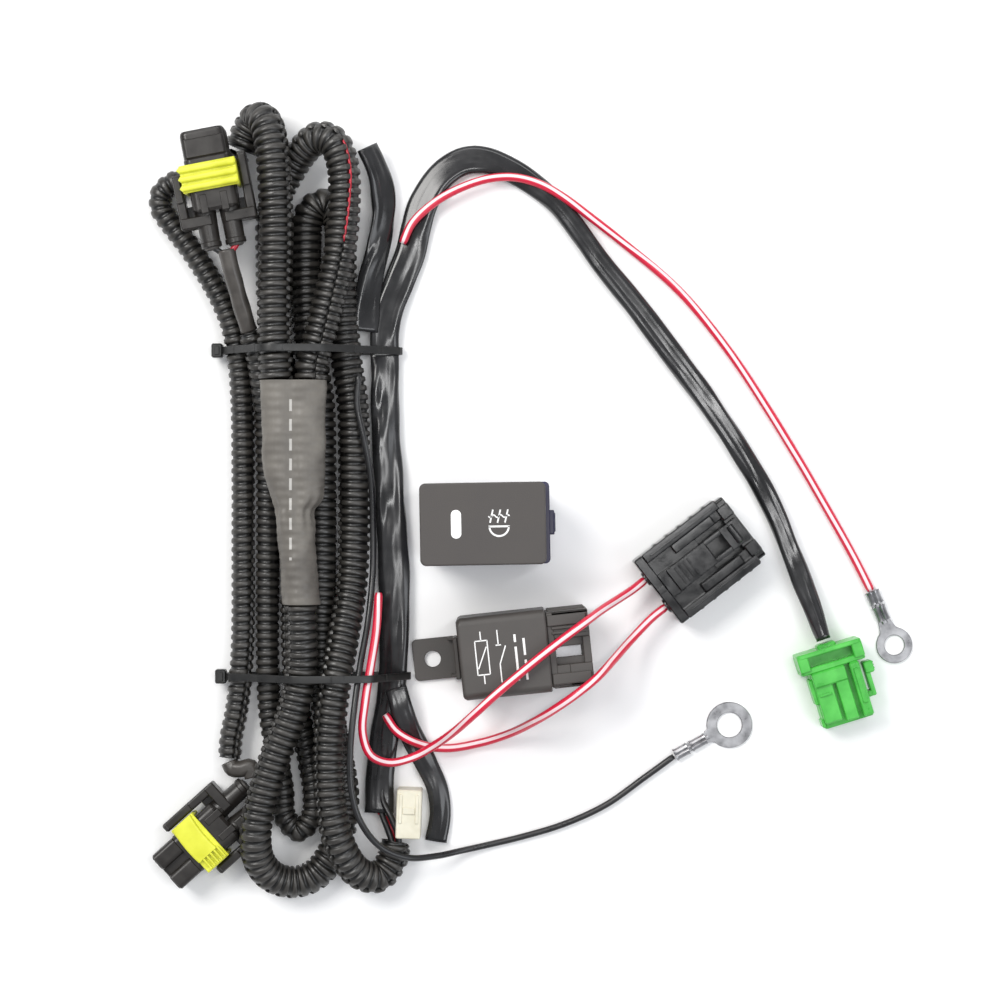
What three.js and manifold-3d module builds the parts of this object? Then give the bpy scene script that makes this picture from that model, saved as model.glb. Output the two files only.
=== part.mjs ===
// Fog-light wiring harness kit: a tied bundle of split-conduit looms with two bulb sockets,
// free leads to a green plug, a switch plug and two ring terminals, a loose relay and a loose
// push switch. Millimetres, +Z up, lying on the ground; +Y runs along the bundle.

import * as THREE from "three";
import { mergeVertices } from "three/addons/utils/BufferGeometryUtils.js";
import Module from "manifold-3d";

// Where the frame's origin lies in the plan that the routes and places below are measured in.
const ORIGIN = [0.35, -1.65];
const GAP = 0.3; // kept between touching pieces

// Looms: outer diameters of the corrugated conduit.
const LEG_D = 7.8; // the two long legs to the bulb sockets
const RISER_1_D = 11.4; // first stretch of leg 1, above the junction
const RISER_2_D = 10.8; // first stretch of leg 2
const TRUNK_D = 10.6;
const CONDUIT_SIDES = 10;

// Cable ties round the whole bundle.
const TIE_W = 2.4;
const TIE_T = 1.1;
const TIE_HEAD = [5, 4.6, 3.6];

// Heat-shrink junction where two looms become one.
const JUNCTION_W = 22.6;
const JUNCTION_T = 13.4;
const JUNCTION_TAIL = 12.4; // width and thickness where it holds only the trunk
const JUNCTION_TOP = 38.6;
const JUNCTION_END = -34.4;

// Leads and sleeves.
const SLEEVE_W = 9.4; // flat PVC sleeve
const SLEEVE_T = 2.6;
const GREY_SLEEVE_D = 5.6;
const STRIPED_WIRE_D = 2.8;
const BLACK_WIRE_D = 2.1;

// Bulb sockets.
const SOCKET_W = 15; // tower
const SOCKET_T = 13;
const SOCKET_L = 38;
const SOCKET_ARM = 3; // width of the arm down each side
const SOCKET_WALL = 1.7;
const SOCKET_CUP = 15; // depth of the bulb cup
const LEG_BOSS_D = 7.2;
const LOCK_L = 9;
const LOCK_T = 1.4;
const SOCKET_FLANGE_W = SOCKET_W + 2 * (2 * GAP + LOCK_T + SOCKET_ARM);

// Green plug, switch plug and relay plug.
const PLUG_WALL = 1.5;
const GREEN = { w: 16.5, l: 19, t: 12, collar_w: 22, collar_l: 7 };
const SWITCH_PLUG = { w: 26, l: 36, t: 15 };
const LATCH_T = 1.6;
const LATCH_CLEAR = 1.5; // room under a latch tongue
const RELAY_PLUG = [8.2, 16, 12];

// Ring terminals.
const RING_T = 1;
const RING_M6 = { outer: 6, hole: 3.3, barrel: 10.4, neck: 3 };
const RING_M8 = { outer: 7.6, hole: 4.15, barrel: 11.6, neck: 1.5 };

// Relay.
const RELAY_L = 29;
const RELAY_W = 27;
const RELAY_T = 26;
const RELAY_WALL = 1.3;
const SHROUD_L = 13.5;
const SHROUD_W = 24.6;
const SHROUD_T = 23;
const BLADE = [11, 6.3, 0.8];
const BRACKET_T = 1.5;
const BRACKET_W = 13.8;
const BRACKET_HOLE_D = 5.4;
const COIL_D = 11;
const COIL_L = 14;

// Push switch.
const SWITCH_W = 40.6;
const SWITCH_H = 26.6;
const SWITCH_FACE_T = 7;
const SWITCH_BODY_T = 22;
const SWITCH_WALL = 1.6;
const SWITCH_WELL_X = (SWITCH_W - 3) / 2 - SWITCH_WALL - 8; // half of the well under the cap
const SWITCH_WELL_Y = (SWITCH_H - 2.4) / 2 - SWITCH_WALL - 3;
const SWITCH_TRAVEL = 2.5;

// Heights that follow from the sizes above.
const LIFT = TIE_T + GAP; // the bundle lies on its two ties
const LOW_LEG = LEG_D / 2 + LIFT;
const LOW_TRUNK = TRUNK_D / 2 + LIFT;
const LOW_RISER = RISER_2_D / 2 + LIFT;
const UPPER = LOW_TRUNK + TRUNK_D + GAP; // looms that lie on the lower layer
const JUNCTION_Z = LOW_TRUNK + (TRUNK_D + JUNCTION_T) / 2 + GAP;
const UPPER_RISER = LOW_RISER + (RISER_1_D + RISER_2_D) / 2 + GAP;
const SOCKET_1_Z = LOW_RISER + RISER_1_D / 2 + 2 * GAP; // it lies on the first arch's far limb

const LEG_1_UPPER = [
  [-30.1, JUNCTION_TOP + GAP, JUNCTION_Z + 0.4],
  [-30.2, 45, JUNCTION_Z + 0.4],
  [-30.6, 56, JUNCTION_Z],
  [-30.4, 72, UPPER_RISER],
  [-30.0, 89, UPPER_RISER],
  [-30.6, 105, UPPER_RISER],
  [-31.6, 115, UPPER_RISER - 1],
  [-33.8, 123, UPPER_RISER - 4.4],
  [-37.2, 124.8, LOW_RISER + 2.6],
  [-40.4, 120.4, LOW_RISER + 0.5],
  [-42.6, 115.2, LOW_RISER],
];

const LEG_1_LOWER = [
  [-43.3, 113.6, LOW_RISER],
  [-45.8, 110.2, LOW_LEG + 0.6],
  [-51, 107.6, LOW_LEG],
  [-58, 106, LOW_LEG],
  [-64.5, 104.6, LOW_LEG],
  [-68.8, 101, LOW_LEG],
  [-69, 96, LOW_LEG],
  [-65.8, 91, LOW_LEG],
  [-60, 83.5, LOW_LEG],
  [-54, 74.5, LOW_LEG],
  [-49, 65.5, LOW_LEG],
  [-45.6, 57, LOW_LEG],
  [-43.6, 47, LOW_LEG],
  [-42.4, 33, LOW_LEG],
  [-42, 10, LOW_LEG],
  [-42, -15, LOW_LEG],
  [-42, -38, LOW_LEG],
  [-42.6, -56, LOW_LEG],
  [-44.2, -70, LOW_LEG],
  [-46, -79, LOW_LEG],
  [-46.4, -85.4, LOW_LEG],
];

const LEG_2_UPPER = [
  [-18.7, JUNCTION_TOP + GAP, JUNCTION_Z - 0.6],
  [-18.5, 43, JUNCTION_Z - 0.6],
  [-15.6, 54, UPPER + 0.6],
  [-12, 68, UPPER + 0.4],
  [-9, 83, UPPER + 0.4],
  [-7.8, 98, UPPER + 0.4],
  [-8.4, 109, UPPER],
  [-11.2, 116.2, UPPER - 1.4],
  [-16.2, 118.4, UPPER - 4],
  [-21.5, 115, LOW_RISER + 3],
  [-26.4, 108.4, LOW_RISER + 0.6],
  [-30.6, 100.5, LOW_RISER],
  [-32.4, 91, LOW_RISER],
  [-32.4, 78, LOW_RISER],
  [-32.3, 66.3, LOW_RISER],
];

const LEG_2_LOWER = [
  [-32.3, 65.4, LOW_LEG + 0.6],
  [-31.8, 58, LOW_LEG + 0.1],
  [-28.8, 46, LOW_LEG],
  [-26.6, 31, LOW_LEG],
  [-25.8, 14, LOW_LEG],
  [-25.8, -15, LOW_LEG],
  [-25.8, -40, LOW_LEG],
  [-25.2, -56, LOW_LEG],
  [-23.2, -72, LOW_LEG],
  [-20.4, -86, LOW_LEG],
  [-18.6, -97, LOW_LEG],
  [-19.2, -104.8, LOW_LEG],
  [-23.6, -109.6, LOW_LEG],
  [-28.2, -105, LOW_LEG],
  [-29, -96, LOW_LEG],
  [-31, -84, LOW_LEG],
  [-33.2, -70, LOW_LEG],
  [-33.9, -52, LOW_LEG],
  [-33.9, -20, LOW_LEG],
  [-33.9, 10, LOW_LEG],
  [-34.5, 27, LOW_LEG + 1],
  [-35.4, 37, LOW_LEG + 3.4],
  [-36.6, 46, LOW_LEG + 6],
  [-39.2, 54.6, LOW_LEG + 6.8],
];

const TRUNK = [
  [-21.8, JUNCTION_END - GAP, JUNCTION_Z],
  [-21.7, -42, JUNCTION_Z],
  [-21.9, -56, UPPER],
  [-25, -70, UPPER],
  [-30.4, -84, UPPER],
  [-34.6, -97.5, UPPER],
  [-36.8, -109, UPPER],
  [-36, -118.6, LOW_TRUNK + 6.4],
  [-31.8, -124.4, LOW_TRUNK + 2.4],
  [-25.6, -126.4, LOW_TRUNK],
  [-19, -124.6, LOW_TRUNK - 0.6],
  [-13.4, -118.6, LOW_TRUNK - 0.6],
  [-9.8, -109, LOW_TRUNK],
  [-8.8, -98, LOW_TRUNK],
  [-10.6, -86, LOW_TRUNK],
  [-13.6, -72, LOW_TRUNK],
  [-15.4, -57, LOW_TRUNK],
  [-16.3, -40, LOW_TRUNK],
  [-16.3, -10, LOW_TRUNK],
  [-16.4, 16, LOW_TRUNK],
  [-16.8, 31, LOW_TRUNK],
  [-19.1, 46, LOW_TRUNK],
  [-20.9, 64, LOW_TRUNK],
  [-21.3, 84, LOW_TRUNK],
  [-20.9, 90.8, LOW_TRUNK],
  [-18.9, 95.4, LOW_TRUNK],
  [-15.5, 97.2, LOW_TRUNK],
  [-12.1, 95.4, LOW_TRUNK],
  [-10.1, 90.8, LOW_TRUNK],
  [-9.7, 84, LOW_TRUNK],
  [-9.4, 64, LOW_TRUNK],
  [-7.8, 46, LOW_TRUNK],
  [-5.7, 31, LOW_TRUNK],
  [-5.3, 12, LOW_TRUNK],
  [-5.3, -12, LOW_TRUNK],
  [-6, -28, LOW_TRUNK + 1.2],
  [-8.2, -44, LOW_TRUNK + 6],
  [-10.8, -60, UPPER - 0.4],
  [-12.6, -76, UPPER + 0.4],
  [-12.8, -92, UPPER + 0.4],
  [-11.6, -104, UPPER + 0.2],
  [-8.6, -115, UPPER - 2],
  [-3.4, -123, LOW_TRUNK + 3.8],
  [2.6, -124.6, LOW_TRUNK + 0.6],
  [7, -119.6, LOW_TRUNK - 1],
  [8.4, -113.4, LOW_TRUNK - 1.2],
];

// Flat sleeve from beside the trunk's open mouth up the right side of the bundle.
const SIDE_SLEEVE = [
  [2.8, -104, 2.8],
  [3.2, -92, 2.2],
  [4.6, -78, 2.4],
  [6.6, -66, 2.6],
  [7.4, -58, LIFT + SLEEVE_T / 2],
  [7.8, -44, LIFT + SLEEVE_T / 2],
  [7.8, -26, LIFT + SLEEVE_T / 2],
  [6.8, -6, LIFT + SLEEVE_T / 2],
  [5.4, 14, LIFT + SLEEVE_T / 2],
  [4.8, 34, LIFT + SLEEVE_T / 2],
  [4.6, 48.6, LIFT + SLEEVE_T / 2],
];

// Slack end of a second sleeve below the lower tie.
const TAIL_SLEEVE = [
  [8.4, -62.4, 6.4],
  [10.6, -70, 6.4],
  [14, -79, 3.6],
  [18.6, -88, 1.6],
  [22, -96, 1.5],
  [23, -104, 1.5],
  [21.6, -113.6, 1.5],
];

// The side sleeve's run beyond the upper tie, free, out to the green plug.
const GREEN_LEAD = [
  [4.6, 48.9, LIFT + SLEEVE_T / 2],
  [4.8, 56, 3],
  [6.4, 64, 2.6],
  [9.6, 72.5, 2],
  [13, 81, 1.6],
  [15, 89.6, 1.6],
  [17.6, 98.5, 1.6],
  [23, 107, 1.6],
  [30.6, 112, 1.6],
  [38, 112.4, 1.6],
  [46, 109.4, 1.6],
  [54.4, 104.2, 1.6],
  [63, 96.4, 1.6],
  [76, 79, 1.6],
  [89.4, 62.2, 1.6],
  [99, 49.4, 1.6],
  [109, 36, 1.6],
  [122.4, 16.4, 1.6],
  [132, -0.4, 1.8],
  [139.4, -18, 2.8],
  [145.4, -34, 5],
  [149.6, -46.4, 6.6],
];

// Striped wire to the small ring: out of the sleeve's fold, over the sleeve and away.
const SMALL_RING_LEAD = [
  [10.6, 84.6, 4.6],
  [14, 91.4, 4.6],
  [22, 98.6, 4.6],
  [31, 103.4, 4.6],
  [39.4, 106, 4.7],
  [47.6, 106.4, 4.8],
  [56, 104.2, 4.8],
  [63.6, 100, 4.8],
  [72, 94, 3.6],
  [83, 85.6, 2],
  [102.4, 69, 1.6],
  [118.6, 49.4, 1.6],
  [132, 29.4, 1.6],
  [142, 13, 1.6],
  [151.6, -3.6, 1.6],
  [159.4, -17.6, 1.6],
  [166, -30.4, 1.8],
];

// Black wire down the bundle and out to the large ring.
const LARGE_RING_LEAD = [
  [-3.4, 40.6, 14.2],
  [-3.9, 31, 13.6],
  [-1.6, 19, 13],
  [0.4, 7, 10.4],
  [1, -8, 8.4],
  [1, -24, 8.6],
  [-0.4, -40, 12],
  [-2.6, -54, 18],
  [-4.4, -68, 22],
  [-5.6, -81, 22.8],
  [-5.4, -94, 22],
  [-2.6, -104.6, 20.4],
  [3.8, -113.6, 16],
  [12.4, -117.6, 12.6],
  [22, -117.8, 7],
  [30, -116.6, 3],
  [40, -114.6, 1.3],
  [50, -112.2, 1.3],
  [64, -108, 1.3],
  [78, -101.6, 1.3],
  [91, -92.4, 1.3],
  [100.6, -85.4, 1.4],
];

// Two striped wires over the relay to the switch plug.
const SWITCH_WIRE_1 = [
  [3, -31, 9.4],
  [2.4, -42, 12],
  [0.8, -54, 16.6],
  [-1, -66, 19.6],
  [-1.8, -76, 19.6],
  [0.6, -83.4, 17.6],
  [6.6, -86.4, 13.4],
  [14, -85, 10.6],
  [21, -81, 13.4],
  [28, -75.6, 21],
  [34.6, -69.4, 27.6],
  [42, -62.6, 28.6],
  [52, -54, 28.8],
  [62, -46, 28.8],
  [70, -40, 28.4],
  [76, -36, 21.4],
  [82, -32.6, 13.6],
  [87, -29.6, 8.8],
  [90.9, -26.6, 7.2],
];
const SWITCH_WIRE_2 = [
  [5, -71, 8],
  [8.8, -76.6, 7.8],
  [16, -80.8, 6.4],
  [25, -82.6, 3.2],
  [36, -81, 1.8],
  [46, -77.5, 6],
  [54, -72.8, 15.6],
  [61, -67.8, 24.4],
  [68, -62.6, 28],
  [74, -57.8, 27.4],
  [80, -52.2, 19],
  [86, -46.2, 11],
  [93.2, -39, 7.8],
  [97.7, -35.5, 7.2],
];

const GREY_SLEEVE_1 = [
  [-46, 81.2, SOCKET_1_Z + SOCKET_T / 2],
  [-44.4, 73.4, 18],
  [-42, 64, 15],
  [-39.4, 55.2, LOW_LEG + 7],
];
const GREY_SLEEVE_2 = [
  [-46.4, -87, LOW_LEG],
  [-45.4, -89, LOW_LEG + 0.4],
  [-42.6, -89.2, LOW_LEG + 0.8],
  [-39.6, -88.6, LOW_LEG + 1],
  [-38.6, -92, LOW_LEG + 1.1],
];

// Places of the pieces that lie beside the bundle: plan x, y, turn in degrees, height.
const SOCKET_1_PLACE = [-46.8, 82.4, 10.8, SOCKET_1_Z];
const SOCKET_2_PLACE = [-38.6, -97.6, 132, 0];
const GREEN_PLACE = [150.4, -48.6, -163, 0];
const SWITCH_PLUG_PLACE = [94.6, -30.8, -52.2, 0];
const RELAY_PLACE = [44.2, -50.6, 6];
const SWITCH_PLACE = [37.4, -8, 1];
const SMALL_RING_PLACE = [166.3, -30.7, -157];
const LARGE_RING_PLACE = [101, -85.1, -61];
const RELAY_PLUG_PLACE = [12.6, -111.6, -2];

const COLOURS = {
  conduit: ["#2b2a28", 0.5, 0],
  shrink: ["#6b6862", 0.55, 0],
  nylon: ["#1f1f1e", 0.5, 0],
  housing: ["#494643", 0.5, 0],
  yellow: ["#eff15c", 0.5, 0],
  green: ["#4fc94a", 0.45, 0],
  sleeve: ["#2f2f2e", 0.25, 0],
  grey_sleeve: ["#55524d", 0.4, 0],
  red_wire: ["#d8304c", 0.4, 0],
  black_wire: ["#262625", 0.4, 0],
  ivory: ["#e9e6d4", 0.5, 0],
  tin: ["#c9c9c6", 0.3, 1],
  copper: ["#b0673a", 0.35, 1],
  iron: ["#8b8a86", 0.4, 1],
  relay: ["#4b4845", 0.5, 0],
  switch_cap: ["#5c5752", 0.6, 0],
  switch_body: ["#45435a", 0.5, 0],
  print: ["#f0f0ee", 0.6, 0],
  lens: ["#f4f4f2", 0.3, 0],
};

const wasm = await Module();
wasm.setup();

function toManifold(geometry) {
  const bare = geometry.clone();
  bare.deleteAttribute("normal");
  bare.deleteAttribute("uv");
  const merged = mergeVertices(bare, 1e-4);
  return new wasm.Manifold(
    new wasm.Mesh({
      numProp: 3,
      vertProperties: merged.attributes.position.array,
      triVerts: new Uint32Array(merged.index.array),
    }),
  );
}

function toGeometry(manifold) {
  const mesh = manifold.getMesh();
  const geometry = new THREE.BufferGeometry();
  geometry.setAttribute(
    "position",
    new THREE.BufferAttribute(new Float32Array(mesh.vertProperties), 3),
  );
  geometry.setIndex(new THREE.BufferAttribute(new Uint32Array(mesh.triVerts), 1));
  geometry.computeVertexNormals();
  return geometry;
}

// One solid out of the joined geometries, less the cut ones.
function shape(joined, cut = []) {
  let made = joined.map(toManifold).reduce((a, b) => a.add(b));
  for (const c of cut) made = made.subtract(toManifold(c));
  return toGeometry(made);
}

// A box by its lowest and highest corners.
function box(lo, hi) {
  const size = hi.map((v, i) => v - lo[i]);
  return new THREE.BoxGeometry(...size).translate(...hi.map((v, i) => (v + lo[i]) / 2));
}

function roundedOutline(w, l, r) {
  const s = new THREE.Shape();
  s.moveTo(-w / 2 + r, -l / 2);
  s.lineTo(w / 2 - r, -l / 2);
  s.absarc(w / 2 - r, -l / 2 + r, r, -Math.PI / 2, 0);
  s.lineTo(w / 2, l / 2 - r);
  s.absarc(w / 2 - r, l / 2 - r, r, 0, Math.PI / 2);
  s.lineTo(-w / 2 + r, l / 2);
  s.absarc(-w / 2 + r, l / 2 - r, r, Math.PI / 2, Math.PI);
  s.lineTo(-w / 2, -l / 2 + r);
  s.absarc(-w / 2 + r, -l / 2 + r, r, Math.PI, Math.PI * 1.5);
  return s;
}

// A plate with rounded corners between two heights, centred at x, y.
function plate(w, l, r, z0, z1, x = 0, y = 0) {
  const made = new THREE.ExtrudeGeometry(roundedOutline(w, l, r), {
    depth: z1 - z0,
    bevelEnabled: false,
    curveSegments: 3,
  });
  return made.translate(x, y, z0);
}

// A rounded tower that points along +Y from y0 to y1, centred at x, z.
function tower(w, t, r, y0, y1, x, z) {
  return plate(w, t, r, 0, y1 - y0)
    .rotateX(-Math.PI / 2)
    .translate(x, y0, z);
}

function rod(d, y0, y1, x, z, sides = 12) {
  return new THREE.CylinderGeometry(d / 2, d / 2, y1 - y0, sides).translate(x, (y0 + y1) / 2, z);
}

function upright(d, z0, z1, x, y, sides = 16) {
  return new THREE.CylinderGeometry(d / 2, d / 2, z1 - z0, sides)
    .rotateX(Math.PI / 2)
    .translate(x, y, (z0 + z1) / 2);
}

function routeCurve(points) {
  return new THREE.CatmullRomCurve3(points.map((p) => new THREE.Vector3(...p)));
}

// A curve whose sections stay level: their x runs sideways and their y runs down.
class LevelCurve extends THREE.CatmullRomCurve3 {
  computeFrenetFrames(segments) {
    const frames = { tangents: [], normals: [], binormals: [] };
    for (let i = 0; i <= segments; i++) {
      const tangent = this.getTangentAt(i / segments);
      const normal = new THREE.Vector3(tangent.y, -tangent.x, 0).normalize();
      frames.tangents.push(tangent);
      frames.normals.push(normal);
      frames.binormals.push(new THREE.Vector3().crossVectors(tangent, normal));
    }
    return frames;
  }
}

function circleOutline(d, sides) {
  const corners = [];
  for (let i = 0; i < sides; i++) {
    const a = (2 * Math.PI * i) / sides;
    corners.push(new THREE.Vector2((d / 2) * Math.cos(a), (d / 2) * Math.sin(a)));
  }
  return new THREE.Shape(corners);
}

// A round tube along a route, with a section every `pace` diameters or so.
function tube(points, d, sides, pace) {
  const path = routeCurve(points);
  const steps = Math.ceil(path.getLength() / (pace * d));
  return new THREE.ExtrudeGeometry(circleOutline(d, sides), { steps, extrudePath: path });
}

// A flat sleeve along a route.
function flatSleeve(points, w, t) {
  const path = new LevelCurve(points.map((p) => new THREE.Vector3(...p)));
  const corner = t / 3;
  const s = new THREE.Shape();
  s.moveTo(-w / 2 + corner, -t / 2);
  s.lineTo(w / 2 - corner, -t / 2);
  s.lineTo(w / 2, 0);
  s.lineTo(w / 2 - corner, t / 2);
  s.lineTo(-w / 2 + corner, t / 2);
  s.lineTo(-w / 2, 0);
  const steps = Math.ceil(path.getLength() / (w * 0.8));
  return new THREE.ExtrudeGeometry(s, { steps, extrudePath: path });
}

// Where the routes cross the upright plane at y: circles of [x, z, radius].
function crossings(routes, y) {
  const found = [];
  for (const { points, d } of routes) {
    const path = routeCurve(points);
    const samples = path.getSpacedPoints(400);
    for (let i = 1; i < samples.length; i++) {
      const [a, b] = [samples[i - 1], samples[i]];
      if ((a.y - y) * (b.y - y) > 0) continue;
      found.push([(a.x + b.x) / 2, (a.z + b.z) / 2, d / 2]);
    }
  }
  return found;
}

// Both edges of the side sleeve, as circles of its thickness, where it passes under a tie.
function sleeveEdges(y) {
  const nearest = SIDE_SLEEVE.reduce((a, b) => (Math.abs(b[1] - y) < Math.abs(a[1] - y) ? b : a));
  const half = (SLEEVE_W - SLEEVE_T) / 2;
  return [-half, half].map((dx) => [nearest[0] + dx, nearest[2], SLEEVE_T / 2]);
}

// The tight belt round circles, grown by `out`: the hull of points on all of them.
function belt(circles, out) {
  const cloud = [];
  for (const [x, z, r] of circles) {
    for (let i = 0; i < 16; i++) {
      const a = (Math.PI * i) / 8;
      cloud.push([x + (r + out) * Math.cos(a), z + (r + out) * Math.sin(a)]);
    }
  }
  cloud.sort((p, q) => p[0] - q[0] || p[1] - q[1]);
  const turn = (o, p, q) => (p[0] - o[0]) * (q[1] - o[1]) - (p[1] - o[1]) * (q[0] - o[0]);
  const half = (list) => {
    const chain = [];
    for (const p of list) {
      while (chain.length > 1 && turn(chain.at(-2), chain.at(-1), p) <= 0) chain.pop();
      chain.push(p);
    }
    return chain.slice(0, -1);
  };
  const hull = [...half(cloud), ...half([...cloud].reverse())];
  return hull.map((p) => new THREE.Vector2(p[0], p[1]));
}

// A closed strap round the circles at y, with its ratchet head on the left side.
function tie(circles, y) {
  const outer = new THREE.Shape(belt(circles, GAP + TIE_T));
  outer.holes.push(new THREE.Path(belt(circles, GAP)));
  const strap = new THREE.ExtrudeGeometry(outer, { depth: TIE_W, bevelEnabled: false })
    .rotateX(Math.PI / 2)
    .translate(0, y + TIE_W / 2, 0);
  const [x, z, r] = circles.reduce((a, b) => (b[0] - b[2] < a[0] - a[2] ? b : a));
  const [headL, headW, headT] = TIE_HEAD;
  const seat = x - r - GAP - TIE_T / 2;
  const head = box(
    [seat - headT, y - headW / 2, z - headL / 2],
    [seat, y + headW / 2, z + headL / 2],
  );
  return shape([strap, head]);
}

// Heat-shrink junction: wide over the two risers, stepping in to the trunk.
function junctionSleeve() {
  const length = JUNCTION_TOP - JUNCTION_END;
  const made = new THREE.ExtrudeGeometry(
    roundedOutline(JUNCTION_W, JUNCTION_T, JUNCTION_T / 2 - 0.1),
    { depth: length, steps: 8, bevelEnabled: false, curveSegments: 5 },
  ).rotateX(Math.PI / 2);
  const at = made.attributes.position;
  const smooth = (a, b, v) => THREE.MathUtils.smoothstep(v, a, b);
  for (let i = 0; i < at.count; i++) {
    const along = -at.getY(i) / length;
    const narrow = smooth(0.38, 0.6, along);
    const width = THREE.MathUtils.lerp(1, JUNCTION_TAIL / JUNCTION_W, narrow);
    const thick = THREE.MathUtils.lerp(1, JUNCTION_TAIL / JUNCTION_T, narrow);
    const centre = THREE.MathUtils.lerp(-24.4, TRUNK[0][0], smooth(0.2, 1, along));
    at.setXYZ(
      i,
      at.getX(i) * width + centre,
      at.getY(i) + JUNCTION_TOP,
      at.getZ(i) * thick + JUNCTION_Z,
    );
  }
  return shape([made]);
}

// Bulb socket, mouth along +Y, wires in at y = 0, underside at z = 0.
function socketHousing() {
  const mid = SOCKET_T / 2;
  const arm = SOCKET_ARM;
  const armX = SOCKET_FLANGE_W / 2 - arm / 2;
  const body = [
    tower(SOCKET_W, SOCKET_T, 2.5, 12, SOCKET_L, 0, mid),
    rod(LEG_BOSS_D, 0, 13, -LEG_BOSS_D / 2 - 0.4, mid),
    rod(LEG_BOSS_D, 0, 13, LEG_BOSS_D / 2 + 0.4, mid),
    box([-SOCKET_FLANGE_W / 2, 7, mid - 3.5], [SOCKET_FLANGE_W / 2, 10.6, mid + 3.5]),
    box([-armX - arm / 2, 10, mid - 3], [-armX + arm / 2, 25, mid + 3]),
    box([armX - arm / 2, 10, mid - 3], [armX + arm / 2, 29, mid + 3]),
  ];
  const cupW = SOCKET_W - 2 * SOCKET_WALL;
  const cupT = SOCKET_T - 2 * SOCKET_WALL;
  const cup = tower(cupW, cupT, 1.5, SOCKET_L - SOCKET_CUP, SOCKET_L + 1, 0, mid);
  const slots = [-1, 1].map((side) =>
    box([side * 3.4 - 1.3, 15, mid - 1.1], [side * 3.4 + 1.3, SOCKET_L - SOCKET_CUP + 1, mid + 1.1]),
  );
  return shape(body, [cup, ...slots]);
}

// Yellow lock: a saddle over the tower with three ribs, free to slide along it.
function socketLock() {
  const y0 = 18;
  const inW = SOCKET_W + 2 * GAP;
  const outW = inW + 2 * LOCK_T;
  const top = SOCKET_T + GAP + LOCK_T;
  const shell = box([-outW / 2, y0, 2.6], [outW / 2, y0 + LOCK_L, top]);
  const ribs = [0, 1, 2].map((i) =>
    box(
      [-outW / 2 - 0.8, y0 + 0.5 + i * 3, top - 4],
      [outW / 2 - 1, y0 + 2.3 + i * 3, top + 0.7],
    ),
  );
  const bore = box([-inW / 2, y0 - 1, 0], [inW / 2, y0 + LOCK_L + 1, SOCKET_T + GAP]);
  return shape([shell, ...ribs], [bore]);
}

function socketTerminal(side) {
  const mid = SOCKET_T / 2;
  const x = side * 3.4;
  return box([x - 1, 15 + GAP, mid - 0.8], [x + 1, SOCKET_L - SOCKET_CUP + 5, mid + 0.8]);
}

// Green plug, mouth along +Y, wires in at y = 0, underside at z = 0.
function greenHousing() {
  const { w, l, t, collar_w, collar_l } = GREEN;
  const full = l + collar_l;
  const body = [
    tower(w, t, 1.2, collar_l - 0.5, full, 0, t / 2),
    tower(collar_w, t + 1.6, 1.5, 0, collar_l, 0, (t + 1.6) / 2),
  ];
  const mouth = tower(w - 2 * PLUG_WALL, t - 2 * PLUG_WALL, 0.8, collar_l + 3, full + 1, 0, t / 2);
  const tray = box([-6, 1.5, t - 1.2], [6, collar_l - 1.6, t + 3]);
  const groove = box([-1.4, collar_l + 2, t - 1], [1.4, full - 3, t + 1]);
  const notch = box([w / 2 - 0.9, full - 8, 3], [w / 2 + 1, full - 4, t - 3]);
  return shape(body, [mouth, tray, groove, notch]);
}

// Side latch of the green plug: a tongue beside the body, hinged at its front end.
function greenLatch() {
  const { w, l, t, collar_l } = GREEN;
  const x0 = -w / 2 - LATCH_CLEAR;
  const y1 = collar_l + l - 6;
  const tongue = box([x0 - LATCH_T, collar_l + 1.4, 3.5], [x0, y1, t - 3]);
  const thumb = box([x0 - LATCH_T - 1.6, collar_l + 1.4, 3], [x0, collar_l + 5.4, t - 2.5]);
  const foot = box([x0 - 0.2, y1 - 2, 3.5], [-w / 2 - GAP, y1, t - 3]);
  return shape([tongue, thumb, foot]);
}

function greenTerminal(side) {
  const y0 = GREEN.collar_l + 3 + GAP;
  return box([side * 4 - 1.2, y0, GREEN.t / 2 - 1.2], [side * 4 + 1.2, y0 + 6, GREEN.t / 2 + 1.2]);
}

// Switch plug, mouth along +Y, wires in at y = 0, underside at z = 0.
function switchPlugHousing() {
  const { w, l, t } = SWITCH_PLUG;
  const body = [
    tower(w - 2, t - 2.4, 1.2, 2.5, l, 0, (t - 2.4) / 2),
    tower(w, t - 1, 1.2, 0, 3.4, 0, (t - 1) / 2),
    box([-w / 2, 3, 2], [-w / 2 + 3.4, l - 3, t - 0.8]),
    box([w / 2 - 3.4, 3, 2], [w / 2, l - 3, t - 0.8]),
  ];
  const mouth = tower(w - 2 - 2 * PLUG_WALL, t - 5.4, 0.8, 12, l + 1, 0, (t - 2.4) / 2);
  const entries = [-1, 1].map((side) => rod(3.6, -1, 4, side * 5.6, 7.2));
  const bed = box([-4.6, 6, t - 3.4], [4.6, l + 1, t]);
  return shape(body, [mouth, ...entries, bed]);
}

// Latch tongue of the switch plug with a window, hinged at its rear end.
function switchPlugLatch() {
  const { l, t } = SWITCH_PLUG;
  const low = t - 1.9;
  const tongue = box([-4.2, 6.4, low], [4.2, l - 0.6, low + LATCH_T]);
  const nose = box([-3.4, l - 5.4, low + 0.2], [3.4, l - 3, low + LATCH_T + 1.2]);
  const foot = box([-4.2, 6.4, t - 3.4 + GAP], [4.2, 8.2, low + 0.2]);
  const window = box([-2.6, l - 14, low - 1], [2.6, l - 8, low + LATCH_T + 1]);
  return shape([tongue, nose, foot], [window]);
}

function switchPlugTerminal(side) {
  return box([side * 5.6 - 1.4, 12 + GAP, 5.4], [side * 5.6 + 1.4, 18, 7.8]);
}

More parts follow.
